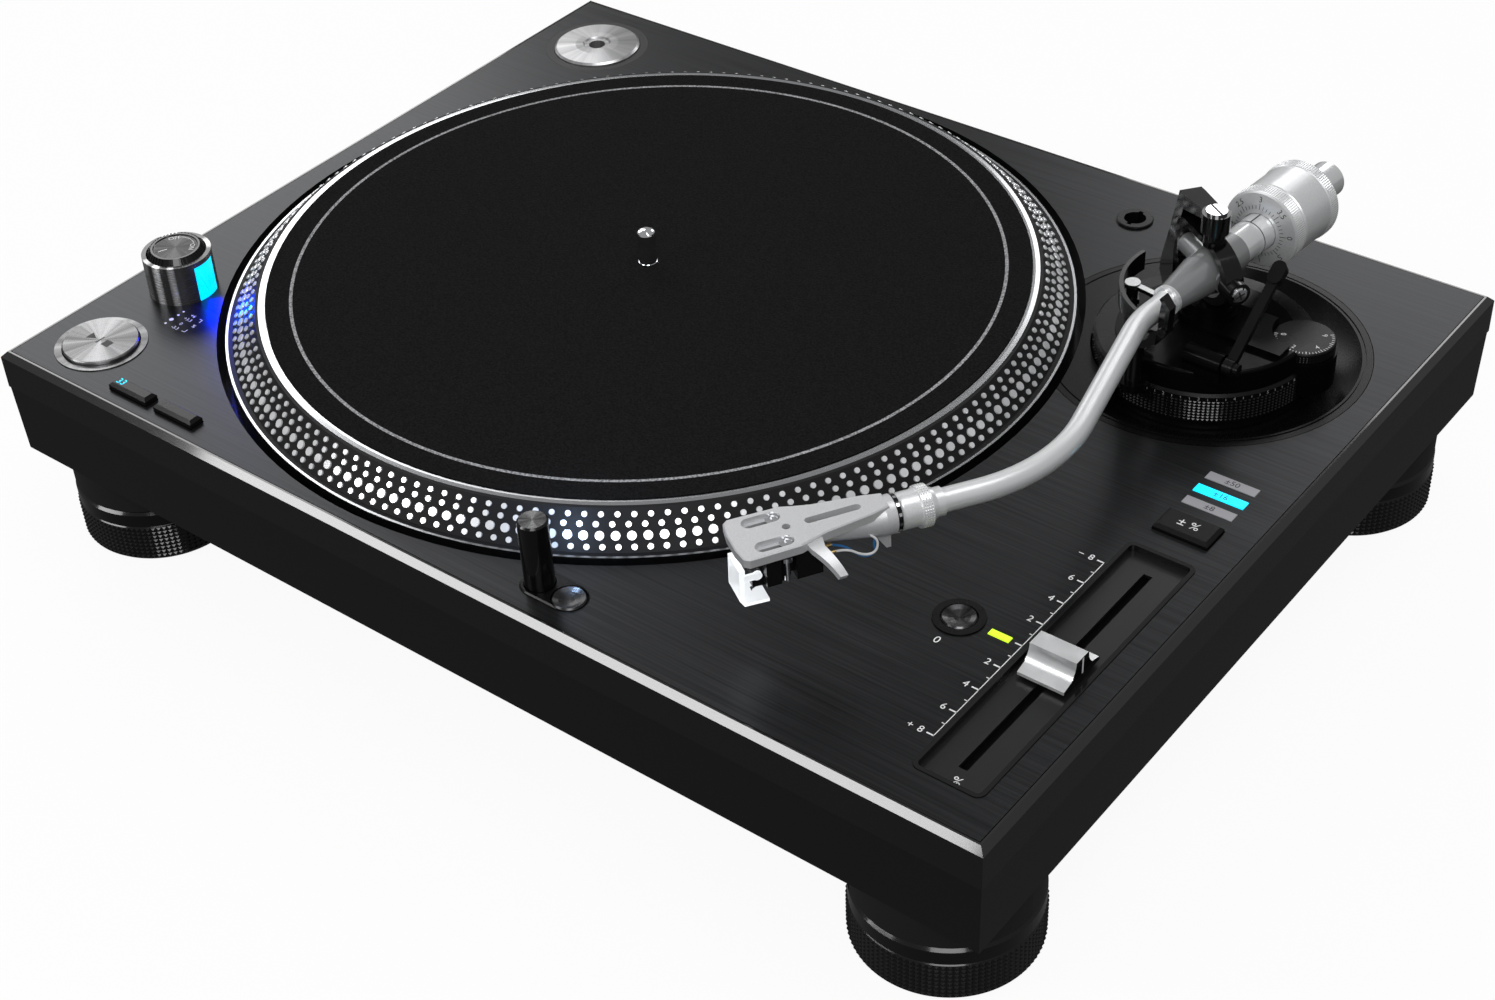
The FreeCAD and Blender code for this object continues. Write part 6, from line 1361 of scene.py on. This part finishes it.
@dataclass
class ArmBase:
    """The arm's base, its height ring, lever, lift and anti-skate dial."""

    ring_knurl: Knurl = Knurl(40.85, -4.6, 4.3, 156, 7, 0.55)
    heights: int = 7
    height_first: float = -118.0
    height_step: float = 18.0
    height_parts: int = 4
    height_r: float = 41.0
    height_note: tuple[float, float] = (1.35, 5.2)
    height_mark: tuple[float, float, float] = (0.1, 4.7, 5.6)
    skate_offset: Triple = (36.5, 5.9, 15.0)
    skate_knurl: Knurl = Knurl(11.3, -3.8, -1.1, 60, 3, 0.3)
    skate_first: float = 200.0
    skate_step: float = 67.0
    skate_parts: int = 10
    skate_labels: str = "0246"
    skate_note: tuple[float, float] = (7.6, 2.1)
    skate_long: Mark = Mark(9.4, 1.4, 0.26)
    skate_short: Mark = Mark(9.8, 1.0, 0.2)

    def build(self) -> None:
        """Dresses the base, knurls its rings and numbers its dials."""
        dress(Look.WELL, "arm_well")
        dress(Look.BASE, "arm_base")
        dress(Look.SATIN_BLACK, "height_ring", "anti_skate_dial", "cue_lever", "headshell_socket")
        dress(Look.LIFT, "cue_lift")
        self.height_ring()
        self.skate_dial()

    def height_ring(self) -> None:
        """The ring's knurl and the small numbers above it."""
        axis = upright(PIVOT.x, PIVOT.y, DECK)
        self.ring_knurl.deliver("height_ring", "height_ring", Look.FOOT, axis)
        notes = Mould("height_numbers", "height_ring", Look.GREY_PRINT)
        size, note_z = self.height_note
        half, low, high = self.height_mark
        for mark in range(self.heights * self.height_parts):
            spot = axis @ swing(self.height_first + self.height_step * mark / self.height_parts)
            if mark % self.height_parts:
                notes.block((self.height_r, -half, low), (self.height_r + PRINT_T, half, high), spot)
            else:
                number = str(mark // self.height_parts)
                notes.words(number, size, spot @ move(self.height_r, 0, note_z) @ OUTWARD)
        notes.deliver(smooth=False)

    def skate_dial(self) -> None:
        """The anti-skate dial's knurl, marks and numbers."""
        at = upright(PIVOT.x, PIVOT.y, DECK) @ move(*self.skate_offset)
        self.skate_knurl.deliver("skate_dial", "anti_skate_dial", Look.FOOT, at)
        notes = Mould("skate_numbers", "anti_skate_dial", Look.PRINT)
        face = Face(at)
        steps, half = range(len(self.skate_labels)), self.skate_parts // 2
        spots = [self.skate_first + self.skate_step * step for step in steps]
        note_r, note_h = self.skate_note
        notes.numbers(face, note_r, zip(self.skate_labels, spots), note_h, inward=True)
        fine = [self.skate_first + self.skate_step * part / self.skate_parts
                for part in range(steps[-1] * self.skate_parts + 1)]
        notes.marks(face, self.skate_long, fine[::half])
        notes.marks(face, self.skate_short, [spot for part, spot in enumerate(fine) if part % half])
        notes.deliver(smooth=False)


@dataclass
class RearPanel:
    """The sockets at the back."""

    floor_y: float = 163.4
    middle_z: float = 55.0
    jacks: tuple[tuple[str, Finish, float], ...] = (("white", Look.WHITE, 146.0), ("red", Look.RED, 160.0))
    jack_ring: tuple[tuple[float, float], ...] = ((4.25, 2.0), (5.4, 2.0), (5.4, 3.4), (4.25, 3.4))
    post_x: float = 128.0
    post_knurl: Knurl = Knurl(4.4, 0.6, 6.0, 30, 5, 0.35)

    def build(self) -> None:
        """Dresses the sockets, rings the jacks and knurls the post."""
        dress(Look.SOFT, "jack_panel", "power_inlet")
        dress(Look.BRASS, "rca_jacks")
        dress(Look.PLAIN_STEEL, "ground_post")
        for name, finish, x in self.jacks:
            ring = Mould("jack_ring_" + name, "root", finish)
            ring.turned(self.jack_ring, 36, self.facing_back(x))
            ring.deliver()
        self.post_knurl.deliver("ground_post", "root", Look.PLAIN_STEEL, self.facing_back(self.post_x))

    def facing_back(self, x: float) -> Matrix:
        """A frame on the recess's floor, with its z pointing back."""
        return move(x, self.floor_y, self.middle_z) @ swing(-90, "X")


@dataclass(frozen=True)
class SoftBox:
    """One rectangular lamp, in metres, watts and degrees."""

    name: str
    at: Sequence[float]
    toward: Sequence[float]
    size: tuple[float, float]
    power: float
    colour: Triple = WHITE
    spread: float = 180.0
    roll: float = 0.0

    def hang(self) -> None:
        """Adds the lamp to the scene."""
        data = bpy.data.lights.new(self.name, "AREA")
        data.shape = "RECTANGLE"
        data.spread = math.radians(self.spread)
        data.size, data.size_y = self.size
        data.energy = self.power
        data.color = self.colour
        aim = (Vector(self.toward) - Vector(self.at)).to_track_quat("-Z", "Y").to_matrix().to_4x4()
        in_scene(self.name, data).matrix_world = move(*self.at) @ aim @ swing(self.roll)


@dataclass
class Studio:
    """The floor, the light and the camera."""

    image_w: float = 1495.0
    image_h: float = 1000.0
    focal_px: float = 2408.67
    centre_px: tuple[float, float] = (721.7, 520.49)
    sensor: float = 36.0
    camera_at: Triple = (0.48562, -0.59204, 0.60746)
    heading: float = 130.228
    pitch: float = -38.932
    roll: float = -3.468
    fill: float = 0.3
    gloss_fill: float = 0.3
    floor_gloss: float = 0.1
    bounce: float = 0.06
    floor_colour: Triple = (0.85, 0.85, 0.85)
    whiteness: float = 0.93
    floor_rough: float = 0.9
    floor_size: float = 20.0
    clip: tuple[float, float] = (0.01, 50.0)
    boxes: tuple[SoftBox, ...] = (
        SoftBox("left_box", (-1.75, 0.8, 1.15), (0, 0, 0.08), (1.3, 0.8), 11.0),
        SoftBox("back_box", (-0.3, 1.95, 1.15), (0, 0, 0.08), (1.1, 0.6), 6.5),
        SoftBox("front_strip", (-0.96, -1.5, 1.12), (0.06, -0.17, 0.08), (1.0, 0.24), 8.5, roll=22.0),
        SoftBox("key_box", (1.0, -1.3, 1.4), (0, 0, 0.1), (1.0, 0.8), 15.0),
        SoftBox("top_box", (0.35, 0.1, 1.7), (0.1, 0, 0.08), (0.9, 0.9), 7.0),
        SoftBox("strobe_glow", beside("strobe_tower", 14.6, 1.0, 7), beside("strobe_tower", 40, -20, 0),
                (0.008, 0.01), 0.022, (0.0, 0.0, 1.0)),
        SoftBox("strobe_beam", beside("strobe_tower", 14.6, 1.0, 7), beside("strobe_tower", 38, -4, 5),
                (0.006, 0.006), 0.0003, (0.0, 0.25, 1.0), 45.0),
        SoftBox("stylus_lamp", beside("stylus_light", 0, 5.6, 24), beside("stylus_light", -5, 22, 4),
                (0.003, 0.003), 0.01, (0.45, 0.65, 1.0)),
    )

    def build(self) -> None:
        """Sets up the whole studio, with the small lamps that the turntable itself has."""
        self.camera()
        self.floor()
        self.world()
        for box in self.boxes:
            box.hang()

    def camera(self) -> None:
        """The camera at the photograph's own place."""
        data = bpy.data.cameras.new("camera")
        data.sensor_width = self.sensor
        data.lens = self.sensor * self.focal_px / self.image_w
        data.shift_x = (self.image_w / 2 - self.centre_px[0]) / self.image_w
        data.shift_y = (self.centre_px[1] - self.image_h / 2) / self.image_w
        data.clip_start, data.clip_end = self.clip
        camera = in_scene("camera", data)
        camera.matrix_world = (upright(*self.camera_at, self.heading - 90)
                               @ swing(90 + self.pitch, "X") @ swing(self.roll))
        bpy.context.scene.camera = camera

    def floor(self) -> None:
        """A wide floor: pale to the camera, with the object's shadow, and a dim one to the object."""
        bench = Bench(bpy.data.materials.new("pale_floor"))
        bench.feed({"Base Color": self.floor_colour, "Roughness": self.floor_rough})
        white, soft = (bench.node("ShaderNodeEmission", inputs={"Color": WHITE, "Strength": strength})
                       for strength in (1.0, self.floor_gloss))
        dim = bench.node("ShaderNodeBsdfDiffuse", inputs={"Color": scaled(WHITE, self.bounce)})
        pale = bench.blend(self.whiteness, Shade(bench, bench.shader.outputs[0]), white)
        unseen = bench.blend(bench.ray("Glossy"), dim, soft)
        seen = bench.ray("Camera") + bench.ray("Transmission")
        bench.link(bench.output.inputs["Surface"], bench.blend(seen, unseen, pale))
        mesh = bmesh.new()
        bmesh.ops.create_grid(mesh, x_segments=1, y_segments=1, size=self.floor_size)
        data = bpy.data.meshes.new("floor")
        mesh.to_mesh(data)
        mesh.free()
        data.materials.append(bench.owner)
        floor = in_scene("floor", data)

    def world(self) -> None:
        """A white background with a weak, even light, and as weak a one in reflections."""
        bench = Bench(bpy.data.worlds.new("studio"))
        bpy.context.scene.world = bench.owner
        bench.feed({"Color": WHITE, "Strength": self.fill})
        last = Shade(bench, bench.shader.outputs[0])
        for kind, strength in (("Glossy", self.gloss_fill), ("Camera", 1.0)):
            sky = bench.node("ShaderNodeBackground", inputs={"Color": WHITE, "Strength": strength})
            last = bench.blend(bench.ray(kind), last, sky)
        bench.link(bench.output.inputs["Surface"], last)


def main() -> None:
    """Builds every sub-assembly in order."""
    logging.basicConfig(level=logging.INFO, format="%(name)s: %(message)s")
    bpy.context.scene.view_settings.view_transform = "Standard"
    for part in (Cabinet(), Platter(), Tower(), Buttons(), Tempo(), Tonearm(), Weight(), Head(), ArmBase(),
                 RearPanel(), Studio()):
        part.build()


if __name__ == "__main__":
    main()
